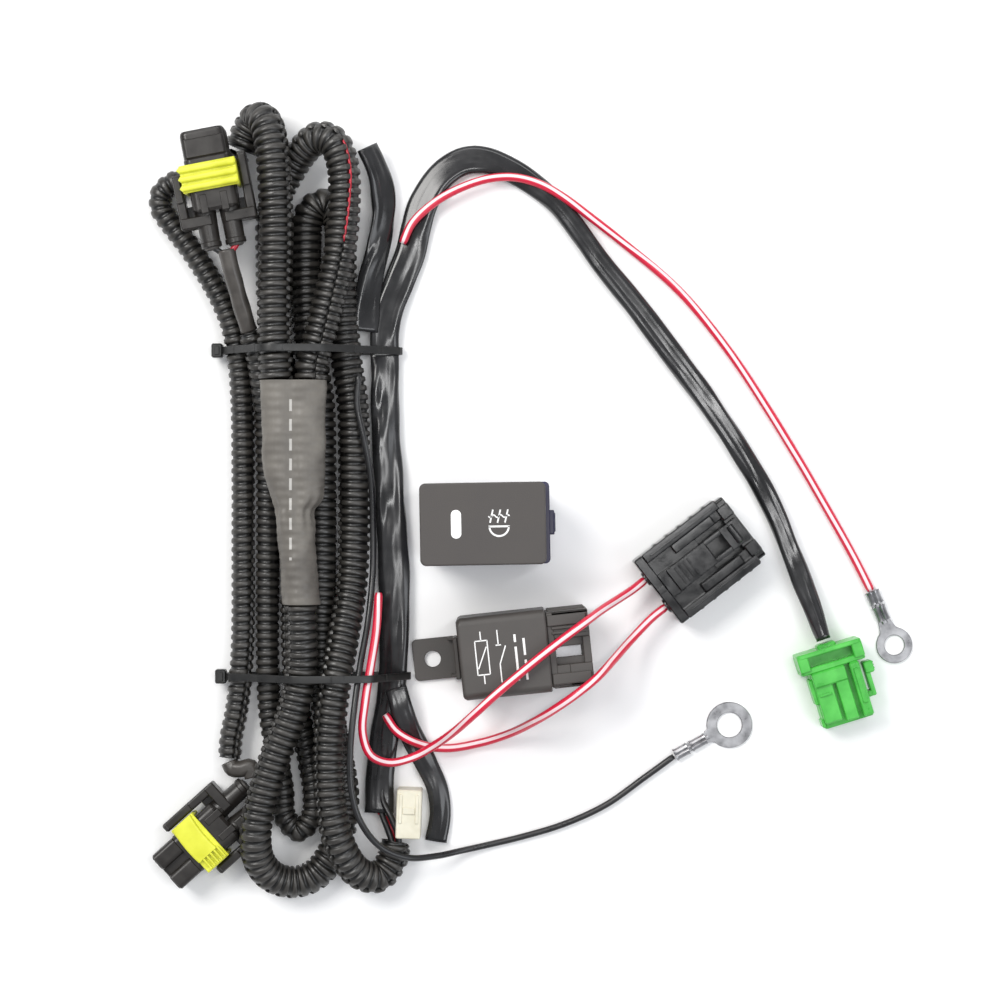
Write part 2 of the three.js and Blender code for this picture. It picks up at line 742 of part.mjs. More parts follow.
// Ivory relay plug, mostly hidden between the sleeves.
function relayPlug() {
  const [w, l, t] = RELAY_PLUG;
  const body = box([-w / 2, 0, 0], [w / 2, l, t]);
  return shape([body], [box([-w / 2 + 1.4, -1, 1.4], [w / 2 - 1.4, 9, t - 1.4])]);
}

// Ring terminal: crimp barrel from y = 0 along +Y, then the flat eye.
function ringTerminal({ outer, hole, barrel, neck }, wireD) {
  const centre = barrel + neck + outer;
  const flat = [
    upright(2 * outer, 0, RING_T, 0, centre, 24),
    box([-wireD / 2 - 0.6, barrel - 2, 0], [wireD / 2 + 0.6, centre, RING_T]),
    tower(wireD + 1.8, wireD + 0.6, 0.9, 0, barrel, 0, (wireD + 0.6) / 2),
  ];
  return shape(flat, [upright(2 * hole, -1, RING_T + 1, 0, centre, 20)]);
}

// Relay, lying on its side, blades along +X; the cover's end face is at x = -RELAY_L / 2.
function relayCover() {
  const x0 = -RELAY_L / 2;
  const outer = plate(RELAY_L, RELAY_W, 2.6, 0, RELAY_T);
  const inner = box(
    [x0 + RELAY_WALL, -RELAY_W / 2 + RELAY_WALL, RELAY_WALL],
    [RELAY_L, RELAY_W / 2 - RELAY_WALL, RELAY_T - RELAY_WALL],
  );
  return shape([outer], [inner]);
}

// Relay base with a ribbed shroud round the blades, open at its far end.
function relayBase() {
  const x0 = RELAY_L / 2 + GAP;
  const x1 = x0 + SHROUD_L;
  const z0 = (RELAY_T - SHROUD_T) / 2;
  const z1 = z0 + SHROUD_T;
  const hw = SHROUD_W / 2;
  const wall = 1.5;
  const plug = box(
    [x0 - 4, -RELAY_W / 2 + RELAY_WALL + GAP, RELAY_WALL + GAP],
    [x0, RELAY_W / 2 - RELAY_WALL - GAP, RELAY_T - RELAY_WALL - GAP],
  );
  const shroud = box([x0 - 0.1, -hw, z0], [x1, hw, z1]);
  const ribs = [-9.5, 9.5].map((y) => box([x0, y - 1.8, z0 + 1], [x1 - 0.6, y + 1.8, z1 + 0.9]));
  const hollow = box([x0 + 2, -hw + wall, z0 + wall], [x1 + 1, hw - wall, z1 - wall]);
  const windows = [
    box([x0 + 3, -5, z1 - 3], [x1 - 2.5, 3.4, z1 + 2]),
    box([x0 + 2.4, -hw - 1, z1 - 6], [x0 + 6, -hw + 4, z1 + 2]),
  ];
  const slots = BLADES.map((b) => bladeBox(b, GAP));
  return shape([plug, shroud, ...ribs], [hollow, ...windows, ...slots]);
}

// Blade terminals: name, y and z of the blade's middle, and whether it stands on edge.
const BLADES = [
  { name: "relay_blade_coil_1", y: 8, z: 13, upright: true },
  { name: "relay_blade_coil_2", y: -8, z: 13, upright: true },
  { name: "relay_blade_common", y: 0, z: 6.4, upright: false },
  { name: "relay_blade_contact", y: -1, z: 19, upright: false },
];

function bladeBox({ y, z, upright: onEdge }, grow) {
  const [l, w, t] = BLADE;
  const half = onEdge ? [t / 2 + grow, w / 2 + grow] : [w / 2 + grow, t / 2 + grow];
  const x0 = RELAY_L / 2 - 4.4 - grow;
  return box(
    [x0, y - half[0], z - half[1]],
    [x0 + l + 4 + grow, y + half[0], z + half[1]],
  );
}

function relayBracket() {
  const x1 = -RELAY_L / 2 - GAP;
  const reach = 13.4;
  const tab = plate(reach + 4, BRACKET_W, 1.6, 0, BRACKET_T, x1 - reach / 2 - 2 + 2, 0);
  const cutTab = box([x1, -BRACKET_W, -1], [x1 + 6, BRACKET_W, BRACKET_T + 1]);
  const wall = box([x1 - BRACKET_T, -BRACKET_W / 2, 0], [x1, BRACKET_W / 2, 14]);
  const gussets = [-1, 1].map((side) => {
    const y = side * (BRACKET_W / 2 - 0.8);
    return box([x1 - 3.4, y - 0.6, 0.2], [x1 - 0.4, y + 0.6, 4]);
  });
  const hole = upright(BRACKET_HOLE_D, -1, BRACKET_T + 1, x1 - 9, 0);
  return shape([tab, wall, ...gussets], [cutTab, hole]);
}

// Inside the relay: coil on its core, yoke, and the armature that the coil pulls.
const COIL_X = -RELAY_L / 2 + RELAY_WALL + GAP + 5.6;
const COIL_Z = RELAY_T / 2;

function alongX(d, x0, x1, y, z, sides = 14) {
  return new THREE.CylinderGeometry(d / 2, d / 2, x1 - x0, sides)
    .rotateZ(Math.PI / 2)
    .translate((x0 + x1) / 2, y, z);
}

function relayBobbin() {
  const flange = 1;
  const neck = 6;
  const x1 = COIL_X + COIL_L;
  const solid = [
    alongX(neck, COIL_X, x1, 0, COIL_Z),
    alongX(COIL_D + 1.4, COIL_X, COIL_X + flange, 0, COIL_Z),
    alongX(COIL_D + 1.4, x1 - flange, x1, 0, COIL_Z),
  ];
  return shape(solid, [alongX(4, COIL_X - 1, x1 + 1, 0, COIL_Z)]);
}

function relayWinding() {
  const x0 = COIL_X + 1 + GAP;
  const x1 = COIL_X + COIL_L - 1 - GAP;
  const ring = alongX(COIL_D, x0, x1, 0, COIL_Z);
  return shape([ring], [alongX(6 + 2 * GAP, x0 - 1, x1 + 1, 0, COIL_Z)]);
}

function relayCore() {
  const x0 = COIL_X - 1;
  return shape([
    alongX(4 - 2 * GAP, x0, COIL_X + COIL_L + GAP, 0, COIL_Z),
    alongX(8, x0 - 0.6, x0 + 0.4, 0, COIL_Z),
  ]);
}

function relayYoke() {
  const x1 = COIL_X + COIL_L + GAP + 0.3;
  const y0 = COIL_D / 2 + 1.4;
  const back = box([x1, -5, COIL_Z - 4.5], [x1 + 1.4, y0 + 1.4, COIL_Z + 4.5]);
  const side = box([COIL_X - 1.2, y0, COIL_Z - 4.5], [x1 + 1.4, y0 + 1.4, COIL_Z + 4.5]);
  return shape([back, side]);
}

// Armature plate in front of the core; it rocks about the yoke's end.
function relayArmature() {
  const x1 = COIL_X - 2.4;
  const y1 = COIL_D / 2 + 2.6;
  return box([x1 - 1.2, -7.6, COIL_Z - 4], [x1, y1, COIL_Z + 4]);
}

function relayContactSpring() {
  const x1 = COIL_X - 2.4 - 1.2 - GAP;
  return box([x1 - 0.4, -9.8, COIL_Z - 2], [x1, 4, COIL_Z + 2]);
}

// Push switch, face up; the body's underside is at z = 0.
const CAP_Z = SWITCH_BODY_T + SWITCH_TRAVEL + GAP;

function switchBody() {
  const bw = SWITCH_W - 3;
  const bh = SWITCH_H - 2.4;
  const body = [
    plate(bw, bh, 1.2, 0, SWITCH_BODY_T - 3),
    plate(SWITCH_W, SWITCH_H, 1.6, SWITCH_BODY_T - 3, SWITCH_BODY_T, 1.4, 0),
    plate(bw - 2, bh - 2, 1, SWITCH_BODY_T - 0.5, SWITCH_BODY_T + 1),
  ];
  const well = box(
    [-SWITCH_WELL_X, -SWITCH_WELL_Y, 8],
    [SWITCH_WELL_X, SWITCH_WELL_Y, SWITCH_BODY_T + 2],
  );
  const socket = box([-9, -6, -1], [9, 6, 6]);
  return shape(body, [well, socket]);
}

function switchCap() {
  const z1 = CAP_Z + SWITCH_FACE_T;
  const shell = plate(SWITCH_W, SWITCH_H, 2, CAP_Z - 0.1, z1);
  const hollow = box(
    [-SWITCH_W / 2 + SWITCH_WALL, -SWITCH_H / 2 + SWITCH_WALL, CAP_Z - 1],
    [SWITCH_W / 2 - SWITCH_WALL, SWITCH_H / 2 - SWITCH_WALL, z1 - 2.4],
  );
  const lens = plate(4 + 2 * GAP, 9.6 + 2 * GAP, 1.2, z1 - 3, z1 + 1, LENS_X, 0);
  const print = plate(9 + 2 * GAP, 9 + 2 * GAP, 0.8, z1 - 1, z1 + 1, PRINT_X, 0);
  return shape([shell], [hollow, lens, print]);
}

const LENS_X = -8.6;
const PRINT_X = 5.2;

function switchLens() {
  const z1 = CAP_Z + SWITCH_FACE_T;
  return shape([plate(4, 9.6, 1.1, z1 - 2.4, z1)]);
}

function switchSymbolPad() {
  const z1 = CAP_Z + SWITCH_FACE_T;
  return shape([plate(9, 9, 0.7, z1 - 1 + GAP, z1)]);
}

// Stem under the cap, in the body's well, on a coil spring's outer sleeve.
function switchStem() {
  const top = CAP_Z + SWITCH_FACE_T - 2.4 - GAP;
  const x = SWITCH_WELL_X - 3.2;
  const y = SWITCH_WELL_Y - 3.5;
  return shape([
    box([-x, -y, SWITCH_BODY_T - 4], [x, y, top]),
    box([-x - 2, -y - 2, top - 1.6], [x + 2, y + 2, top]),
  ]);
}

function switchSpring() {
  const z1 = SWITCH_BODY_T - 4 - GAP;
  const outer = upright(6, 8 + GAP, z1, 0, 0, 12);
  return shape([outer], [upright(4.2, 7, z1 + 1, 0, 0, 12)]);
}

function switchClip() {
  const x0 = SWITCH_W / 2 + 1.4 + GAP;
  const z1 = SWITCH_BODY_T - 4;
  return box([x0 - 1.4, -4, z1 - 8], [x0 + 1.2, 4, z1 + 0.6]);
}

function switchTerminal(i) {
  const x = -5 + i * 5;
  return box([x - 1.1, -0.4, 1], [x + 1.1, 0.4, 6 - GAP]);
}

function mesh(name, geometry, colour) {
  const [color, roughness, metalness] = COLOURS[colour];
  const made = new THREE.Mesh(
    geometry,
    new THREE.MeshStandardMaterial({ color, roughness, metalness }),
  );
  made.name = name;
  return made;
}

// A group turned about Z and set down in the plan.
function placed([x, y, turn, z = 0], meshes) {
  const group = new THREE.Group();
  group.add(...meshes);
  group.rotation.z = THREE.MathUtils.degToRad(turn);
  group.position.set(x, y, z);
  return group;
}

const LOOMS = [
  { name: "loom_leg_1_upper", points: LEG_1_UPPER, d: RISER_1_D },
  { name: "loom_leg_1_lower", points: LEG_1_LOWER, d: LEG_D },
  { name: "loom_leg_2_upper", points: LEG_2_UPPER, d: RISER_2_D },
  { name: "loom_leg_2_lower", points: LEG_2_LOWER, d: LEG_D },
  { name: "loom_trunk", points: TRUNK, d: TRUNK_D },
];
const CORDS = [
  { name: "small_ring_lead", points: SMALL_RING_LEAD, d: STRIPED_WIRE_D, colour: "red_wire" },
  { name: "large_ring_lead", points: LARGE_RING_LEAD, d: BLACK_WIRE_D, colour: "black_wire" },
  { name: "switch_wire_1", points: SWITCH_WIRE_1, d: STRIPED_WIRE_D, colour: "red_wire" },
  { name: "switch_wire_2", points: SWITCH_WIRE_2, d: STRIPED_WIRE_D, colour: "red_wire" },
];
const TIES = [
  { name: "tie_upper", y: 49 },
  { name: "tie_lower", y: -58.6 },
];
const TIE_REACH = 20; // what crosses a tie's plane further right lies outside it

function bundle() {
  const looms = LOOMS.map(({ name, points, d }) =>
    mesh(name, tube(points, d, CONDUIT_SIDES, 0.8), "conduit"),
  );
  const held = (y) => [
    ...crossings([...LOOMS, ...CORDS], y).filter(([x]) => x < TIE_REACH),
    ...sleeveEdges(y),
  ];
  const ties = TIES.map(({ name, y }) => mesh(name, tie(held(y), y), "nylon"));
  return [
    ...looms,
    ...ties,
    mesh("junction_sleeve", junctionSleeve(), "shrink"),
    mesh("side_sleeve", flatSleeve(SIDE_SLEEVE, SLEEVE_W, SLEEVE_T), "sleeve"),
    mesh("tail_sleeve", flatSleeve(TAIL_SLEEVE, SLEEVE_W - 2, SLEEVE_T), "sleeve"),
    mesh("socket_1_sleeve", tube(GREY_SLEEVE_1, GREY_SLEEVE_D, 8, 0.8), "grey_sleeve"),
    mesh("socket_2_sleeve", tube(GREY_SLEEVE_2, GREY_SLEEVE_D, 8, 0.8), "grey_sleeve"),
  ];
}

function cords() {
  const round = CORDS.map(({ name, points, d, colour }) =>
    mesh(name, tube(points, d, 8, 2), colour),
  );
  return [...round, mesh("green_lead", flatSleeve(GREEN_LEAD, SLEEVE_W, SLEEVE_T), "sleeve")];
}

function socket(number, place) {
  const name = `socket_${number}`;
  return placed(place, [
    mesh(`${name}_housing`, socketHousing(), "housing"),
    mesh(`${name}_lock`, socketLock(), "yellow"),
    mesh(`${name}_terminal_left`, socketTerminal(-1), "tin"),
    mesh(`${name}_terminal_right`, socketTerminal(1), "tin"),
  ]);
}

function greenPlug() {
  return placed(GREEN_PLACE, [
    mesh("green_plug_housing", greenHousing(), "green"),
    mesh("green_plug_latch", greenLatch(), "green"),
    mesh("green_plug_terminal_left", greenTerminal(-1), "tin"),
    mesh("green_plug_terminal_right", greenTerminal(1), "tin"),
  ]);
}

function switchPlug() {
  return placed(SWITCH_PLUG_PLACE, [
    mesh("switch_plug_housing", switchPlugHousing(), "nylon"),
    mesh("switch_plug_latch", switchPlugLatch(), "nylon"),
    mesh("switch_plug_terminal_left", switchPlugTerminal(-1), "tin"),
    mesh("switch_plug_terminal_right", switchPlugTerminal(1), "tin"),
  ]);
}

function relay() {
  const blades = BLADES.map((b) => mesh(b.name, bladeBox(b, 0), "tin"));
  return placed(RELAY_PLACE, [
    mesh("relay_cover", relayCover(), "relay"),
    mesh("relay_base", relayBase(), "relay"),
    mesh("relay_bracket", relayBracket(), "relay"),
    mesh("relay_bobbin", relayBobbin(), "ivory"),
    mesh("relay_winding", relayWinding(), "copper"),
    mesh("relay_core", relayCore(), "iron"),
    mesh("relay_yoke", relayYoke(), "iron"),
    mesh("relay_armature", relayArmature(), "iron"),
    mesh("relay_contact_spring", relayContactSpring(), "copper"),
    ...blades,
  ]);
}

function pushSwitch() {
  const terminals = [0, 1, 2].map((i) => mesh(`switch_terminal_${i + 1}`, switchTerminal(i), "tin"));
  return placed(SWITCH_PLACE, [
    mesh("switch_body", switchBody(), "switch_body"),
    mesh("switch_cap", switchCap(), "switch_cap"),
    mesh("switch_lens", switchLens().translate(LENS_X, 0, 0), "lens"),
    mesh("switch_symbol_pad", switchSymbolPad().translate(PRINT_X, 0, 0), "switch_cap"),
    mesh("switch_stem", switchStem(), "ivory"),
    mesh("switch_spring", switchSpring(), "iron"),
    mesh("switch_clip", switchClip(), "switch_body"),
    ...terminals,
  ]);
}

const harness = new THREE.Group();
harness.position.set(-ORIGIN[0], -ORIGIN[1], 0);
harness.add(
  ...bundle(),
  ...cords(),
  socket(1, SOCKET_1_PLACE),
  socket(2, SOCKET_2_PLACE),
  greenPlug(),
  switchPlug(),
  relay(),
  pushSwitch(),
  placed(SMALL_RING_PLACE, [
    mesh("small_ring", ringTerminal(RING_M6, STRIPED_WIRE_D), "tin"),
  ]),
  placed(LARGE_RING_PLACE, [mesh("large_ring", ringTerminal(RING_M8, BLACK_WIRE_D), "tin")]),
  placed(RELAY_PLUG_PLACE, [mesh("relay_plug", relayPlug(), "ivory")]),
);

export default harness;
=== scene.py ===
# Fog-light wiring harness kit: a tied bundle of split-conduit looms with its bulb sockets, plugs,
# ring terminals, relay and push switch. Metres, +Z up, lying on a table in the CAD's own frame.
import bpy
import numpy as np
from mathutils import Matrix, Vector


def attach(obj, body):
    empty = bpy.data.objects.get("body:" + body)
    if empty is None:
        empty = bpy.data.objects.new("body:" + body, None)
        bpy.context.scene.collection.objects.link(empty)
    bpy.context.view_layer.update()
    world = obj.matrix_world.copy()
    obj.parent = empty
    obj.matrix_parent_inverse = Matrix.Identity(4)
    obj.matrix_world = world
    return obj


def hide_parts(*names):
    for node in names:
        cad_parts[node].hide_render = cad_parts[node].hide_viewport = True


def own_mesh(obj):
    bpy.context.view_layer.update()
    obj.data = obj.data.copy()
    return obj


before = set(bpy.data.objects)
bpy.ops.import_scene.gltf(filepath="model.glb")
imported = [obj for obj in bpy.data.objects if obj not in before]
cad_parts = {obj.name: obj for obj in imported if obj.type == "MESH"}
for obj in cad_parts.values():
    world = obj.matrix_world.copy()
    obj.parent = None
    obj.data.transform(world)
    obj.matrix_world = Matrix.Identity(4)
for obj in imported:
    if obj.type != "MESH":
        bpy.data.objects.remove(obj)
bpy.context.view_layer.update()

scene = bpy.context.scene
scene.view_settings.view_transform = "Standard"

camera = bpy.data.objects.new("camera", bpy.data.cameras.new("camera"))
camera.location = (0.04255, 0.0013, 0.9)
camera.data.angle = 2 * np.arctan(0.1635 / 0.885)
camera.data.clip_start = 0.05
scene.collection.objects.link(camera)
scene.camera = camera


def soft_box(name, place, target, width, length, watts, tint):
    """A rectangular lamp at place whose face looks at target."""
    lamp = bpy.data.lights.new(name, "AREA")
    lamp.shape = "RECTANGLE"
    lamp.size = width
    lamp.size_y = length
    lamp.energy = watts
    lamp.color = tint
    piece = bpy.data.objects.new(name, lamp)
    piece.location = place
    aim = Vector(target) - Vector(place)
    piece.rotation_euler = aim.to_track_quat("-Z", "Y").to_euler()
    scene.collection.objects.link(piece)


soft_box("key_box", (-0.55, 0.45, 0.95), (0, 0, 0), 0.5, 0.5, 8.5, (1, 0.985, 0.96))
soft_box("fill_box", (0.75, -0.3, 0.9), (0.04, 0, 0), 0.6, 0.6, 3.6, (0.93, 0.96, 1))
soft_box("line_box", (0.22, 0.1, 1.1), (0.04, 0, 0), 0.06, 0.7, 2.6, (1, 1, 1))
soft_box("back_box", (0.05, 0.9, 0.7), (0.04, 0, 0), 0.9, 0.3, 3, (1, 1, 1))

world = bpy.data.worlds.new("studio_air")
world.use_nodes = True
world.node_tree.nodes["Background"].inputs["Color"].default_value = (0.93, 0.95, 1, 1)
world.node_tree.nodes["Background"].inputs["Strength"].default_value = 0.46
scene.world = world


def colour(text):
    """Linear RGBA of an sRGB hex value: c / 12.92 below 0.04045, else ((c + 0.055) / 1.055)^2.4."""
    c = np.array([int(text[i:i + 2], 16) for i in (1, 3, 5)]) / 255
    linear = np.where(c <= 0.04045, c / 12.92, ((c + 0.055) / 1.055) ** 2.4)
    return (*linear, 1.0)


def put(material, socket, value):
    """Links another node's output to a socket, or sets the socket's own value."""
    if isinstance(value, bpy.types.NodeSocket):
        material.node_tree.links.new(value, socket)
    else:
        socket.default_value = value


def add_node(material, kind, **settings):
    """Adds a node. Each setting is one of its fields, or one of its inputs by name."""
    node = material.node_tree.nodes.new(kind)
    for key, value in settings.items():
        if hasattr(node, key):
            setattr(node, key, value)
        else:
            put(material, node.inputs[key.replace("_", " ")], value)
    return node


def feed(material, name, source):
    """Links an output to one of the sockets of the material's own shader."""
    put(material, material.node_tree.nodes["Principled BSDF"].inputs[name], source)


def object_place(material):
    """The object's own coordinates, in metres."""
    return add_node(material, "ShaderNodeTexCoord").outputs["Object"]


def noise(material, vector, scale, detail):
    """Fractal noise of a vector."""
    return add_node(material, "ShaderNodeTexNoise", Vector=vector, Scale=scale,
                    Detail=detail).outputs["Fac"]


def compute(material, operation, *values):
    """A maths node on outputs or numbers."""
    node = add_node(material, "ShaderNodeMath", operation=operation)
    for socket, value in zip(node.inputs, values):
        put(material, socket, value)
    return node.outputs["Value"]


def remap(material, value, low, high, to_low, to_high):
    """Carries a value from one range to another and clamps it there."""
    return add_node(material, "ShaderNodeMapRange", Value=value, From_Min=low, From_Max=high,
                    To_Min=to_low, To_Max=to_high).outputs["Result"]


def band(material, value, middle, half, soft):
    """1 where the value is inside middle ± half, 0 outside, with an edge `soft` wide."""
    distance = compute(material, "ABSOLUTE", compute(material, "SUBTRACT", value, middle))
    return remap(material, distance, half, half + soft, 1, 0)


def mix(material, factor, first, second, blend="MIX"):
    """Mixes two colours, each an output or a plain value."""
    node = add_node(material, "ShaderNodeMix", data_type="RGBA", blend_type=blend)
    for name, value in (("Factor", factor), ("A", first), ("B", second)):
        put(material, node.inputs[name], value)
    return node.outputs["Result"]


def two_tone(material, factor, low, high, ends=(0.3, 0.7)):
    """A colour ramp from low to high between two values of a factor."""
    ramp = add_node(material, "ShaderNodeValToRGB", Fac=factor)
    for element, position, tone in zip(ramp.color_ramp.elements, ends, (low, high)):
        element.position = position
        element.color = tone if isinstance(tone, tuple) else colour(tone)
    return ramp.outputs["Color"]


def emboss(material, height, depth_mm, strength=1.0):
    """Raises the surface by a height output."""
    bump = add_node(material, "ShaderNodeBump", Height=height, Distance=depth_mm / 1000,
                    Strength=strength)
    feed(material, "Normal", bump.outputs["Normal"])


def new_material(name, base, roughness, metallic=0.0, ior=1.5, **plain):
    """A Principled material with its plain values set on the shader's own sockets."""
    material = bpy.data.materials.new(name)
    material.use_nodes = True
    if not metallic:
        plain["IOR"] = ior
    plain |= {"Base_Color": colour(base), "Roughness": roughness, "Metallic": metallic}
    for key, value in plain.items():
        feed(material, key.replace("_", " "), value)
    material.diffuse_color = colour(base)
    return material


def mottled(name, base, roughness, low, high, size_mm, rough, bump_mm=0.0, detail=4.0, **plain):
    """A material on which noise with features of size_mm runs the colour from low to high, the
    roughness between two values, and the height by bump_mm."""
    material = new_material(name, base, roughness, **plain)
    speckle = noise(material, object_place(material), 1000 / size_mm, detail)
    feed(material, "Base Color", two_tone(material, speckle, low, high))
    feed(material, "Roughness", remap(material, speckle, 0.3, 0.7, *rough))
    if bump_mm:
        emboss(material, speckle, bump_mm)
    return material


def dress(names, material):
    """Gives the material to the CAD nodes that stay in view, and returns the nodes."""
    nodes = [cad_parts[name] for name in names]
    for node in nodes:
        node.data.materials.clear()
        node.data.materials.append(material)
    return nodes


table_paper = mottled("white_table_paper", "#fbfbfa", 0.9, "#f9f9f8", "#fcfcfc", 40, (0.85, 0.95))
mesh = bpy.data.meshes.new("table")
mesh.from_pydata([(-3, -3, 0), (3, -3, 0), (3, 3, 0), (-3, 3, 0)], [], [(0, 1, 2, 3)])
mesh.materials.append(table_paper)
table = bpy.data.objects.new("table", mesh)
scene.collection.objects.link(table)

# ---------------------------------------------------------------- striped and black free wires
# Single stranded-copper wires in extruded PVC. The feed wires are red with a white stripe laid
# on in the extruder; the earth wire is plain black. Each keeps the gentle waves of its packing.
STRIPED_WIRE_D = 0.0028
BLACK_WIRE_D = 0.0021
CENTRE_SHIFT = (0.35, 0.35, 0)


def traced(*points):
    return (np.array(points) - CENTRE_SHIFT) / 1000


SMALL_RING_LEAD = traced(
    (10.6, 86.6, 4.6), (14, 93.4, 4.6), (22, 100.6, 4.6), (31, 105.4, 4.6), (39.4, 108, 4.7),
    (47.6, 108.4, 4.8), (56, 106.2, 4.8), (63.6, 102, 4.8), (72, 96, 3.6), (83, 87.6, 2),
    (102.4, 71, 1.6), (118.6, 51.4, 1.6), (132, 31.4, 1.6), (142, 15, 1.6), (151.6, -1.6, 1.6),
    (159.4, -15.6, 1.6), (166, -28.4, 1.8),
)
LARGE_RING_LEAD = traced(
    (-3.4, 42.6, 14.2), (-3.9, 33, 13.6), (-1.6, 21, 13), (0.4, 9, 10.4), (1, -6, 8.4),
    (1, -22, 8.6), (-0.4, -38, 12), (-2.6, -52, 18), (-4.4, -66, 22), (-5.6, -79, 22.8),
    (-5.4, -92, 22), (-2.6, -102.6, 20.4), (3.8, -111.6, 16), (12.4, -115.6, 12.6),
    (22, -115.8, 7), (30, -114.6, 3), (40, -112.6, 1.3), (50, -110.2, 1.3), (64, -106, 1.3),
    (78, -99.6, 1.3), (91, -90.4, 1.3), (100.6, -83.4, 1.4),
)
SWITCH_WIRE_1 = traced(
    (3, -29, 9.4), (2.4, -40, 12), (0.8, -52, 16.6), (-1, -64, 19.6), (-1.8, -74, 19.6),
    (0.6, -81.4, 17.6), (6.6, -84.4, 13.4), (14, -83, 10.6), (21, -79, 13.4), (28, -73.6, 21),
    (34.6, -67.4, 27.6), (42, -60.6, 28.6), (52, -52, 28.8), (62, -44, 28.8), (70, -38, 28.4),
    (76, -34, 21.4), (82, -30.6, 13.6), (87, -27.6, 8.8), (90.9, -24.6, 7.2),
)
SWITCH_WIRE_2 = traced(
    (5, -69, 8), (8.8, -74.6, 7.8), (16, -78.8, 6.4), (25, -80.6, 3.2), (36, -79, 1.8),
    (46, -75.5, 6), (54, -70.8, 15.6), (61, -65.8, 24.4), (68, -60.6, 28), (74, -55.8, 27.4),
    (80, -50.2, 19), (86, -44.2, 11), (93.2, -37, 7.8), (97.7, -33.5, 7.2),
)


def run_along(path):
    """Distance along the path at each of its points."""
    return np.append(0, np.cumsum(np.linalg.norm(np.diff(path, axis=0), axis=1)))


def resample(at, run, values):
    """Each column of the values, read off at distances `at` along the run."""
    return np.column_stack([np.interp(at, run, column) for column in values.T])


def around(sides):
    """Angles spread evenly round one full turn."""
    return 2 * np.pi * np.arange(sides) / sides


def smooth_route(points, step):
    """Points about `step` apart on the centripetal Catmull-Rom curve through `points`: a cubic
    between neighbours, its end slopes taken over knots spaced by the root of each chord."""
    p = np.vstack([2 * points[0] - points[1], points, 2 * points[-1] - points[-2]])
    p0, p1, p2, p3 = (q[:, None, :] for q in (p[:-3], p[1:-2], p[2:-1], p[3:]))
    knot = np.sqrt(np.linalg.norm(np.diff(p, axis=0), axis=1))[:, None, None]
    d0, d1, d2 = knot[:-2], knot[1:-1], knot[2:]
    m1 = d1 * ((p1 - p0) / d0 - (p2 - p0) / (d0 + d1) + (p2 - p1) / d1)
    m2 = d1 * ((p2 - p1) / d1 - (p3 - p1) / (d1 + d2) + (p3 - p2) / d2)
    t = np.linspace(0, 1, 60, endpoint=False)[None, :, None]
    cubic = p1 + m1 * t + (3 * (p2 - p1) - 2 * m1 - m2) * t**2 + (2 * (p1 - p2) + m1 + m2) * t**3
    fine = np.vstack([cubic.reshape(-1, 3), points[-1:]])
    run = run_along(fine)
    at = np.linspace(0, run[-1], max(int(round(run[-1] / step)), 2) + 1)
    return resample(at, run, fine)


def level_frames(path):
    """Unit tangent, level sideways vector and upward vector at each point of a path."""
    tangent = np.gradient(path, axis=0)
    tangent /= np.linalg.norm(tangent, axis=1)[:, None]
    side = np.cross(tangent, [0.0, 0.0, 1.0])
    side /= np.linalg.norm(side, axis=1)[:, None]
    return tangent, side, np.cross(side, tangent)


def skin(name, rings, material, body, replaced=(), attribute=None, smooth=True):
    """A closed mesh over rings of points, shape (rings, points, 3): quads between neighbouring
    rings, one n-gon over each end. Its UV map holds (turn round the ring, metres along)."""
    n, m = rings.shape[:2]
    i = np.arange(n - 1)[:, None] * m
    j = np.arange(m)[None, :]
    k = (j + 1) % m
    quads = np.stack([i + j, i + m + j, i + m + k, i + k], -1).reshape(-1, 4)
    caps = [list(range(m)), list(range((n - 1) * m, n * m))[::-1]]
    mesh = bpy.data.meshes.new(name)
    mesh.from_pydata(rings.reshape(-1, 3).tolist(), [], quads.tolist() + caps)
    along = run_along(rings.mean(axis=1))
    turn = np.broadcast_to(np.arange(m) / m, (n - 1, m))
    step = np.broadcast_to(along[:, None], (n, m))
    u = np.stack([turn, turn, turn + 1 / m, turn + 1 / m], -1)
    v = np.stack([step[:-1], step[1:], step[1:], step[:-1]], -1)
    uv = np.zeros((len(mesh.loops), 2))
    uv[:quads.size] = np.column_stack([u.reshape(-1), v.reshape(-1)])
    uv[quads.size:, 0] = 0.25
    uv[quads.size + m:, 1] = along[-1]
    mesh.uv_layers.new(name="along").data.foreach_set("uv", uv.reshape(-1))
    if attribute is not None:
        layer = mesh.attributes.new("relief", "FLOAT", "POINT")
        layer.data.foreach_set("value", np.ascontiguousarray(attribute, dtype=float).reshape(-1))
    return finish_mesh(name, mesh, material, body, replaced, smooth)


def finish_mesh(name, mesh, material, body, replaced=(), smooth=True):
    """Makes the mesh a piece that rides on its body, stands for its CAD nodes and has a slot."""
    mesh.materials.append(material)
    mesh.polygons.foreach_set("use_smooth", [smooth] * len(mesh.polygons))
    piece = bpy.data.objects.new(name, mesh)
    scene.collection.objects.link(piece)
    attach(piece, body)
    if replaced:
        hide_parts(*replaced)
    return piece


def round_rings(path, radius, sides):
    """Circles of the given radius, one number or one per point, square to the path. Point 0
    lies sideways and the quarter turn lies on top."""
    _, side, up = level_frames(path)
    turn = around(sides)
    reach = np.broadcast_to(radius, len(path))[:, None, None]
    out = np.cos(turn)[:, None] * side[:, None] + np.sin(turn)[:, None] * up[:, None]
    return path[:, None] + reach * out


def domed_ends(path, radius):
    """Radii that close a wire's cut ends with a small chamfer a fifth of the radius deep."""
    run = run_along(path)
    gap = np.minimum(run, run[-1] - run)
    return radius * (0.8 + 0.2 * np.clip(gap / (0.4 * radius), 0, 1))


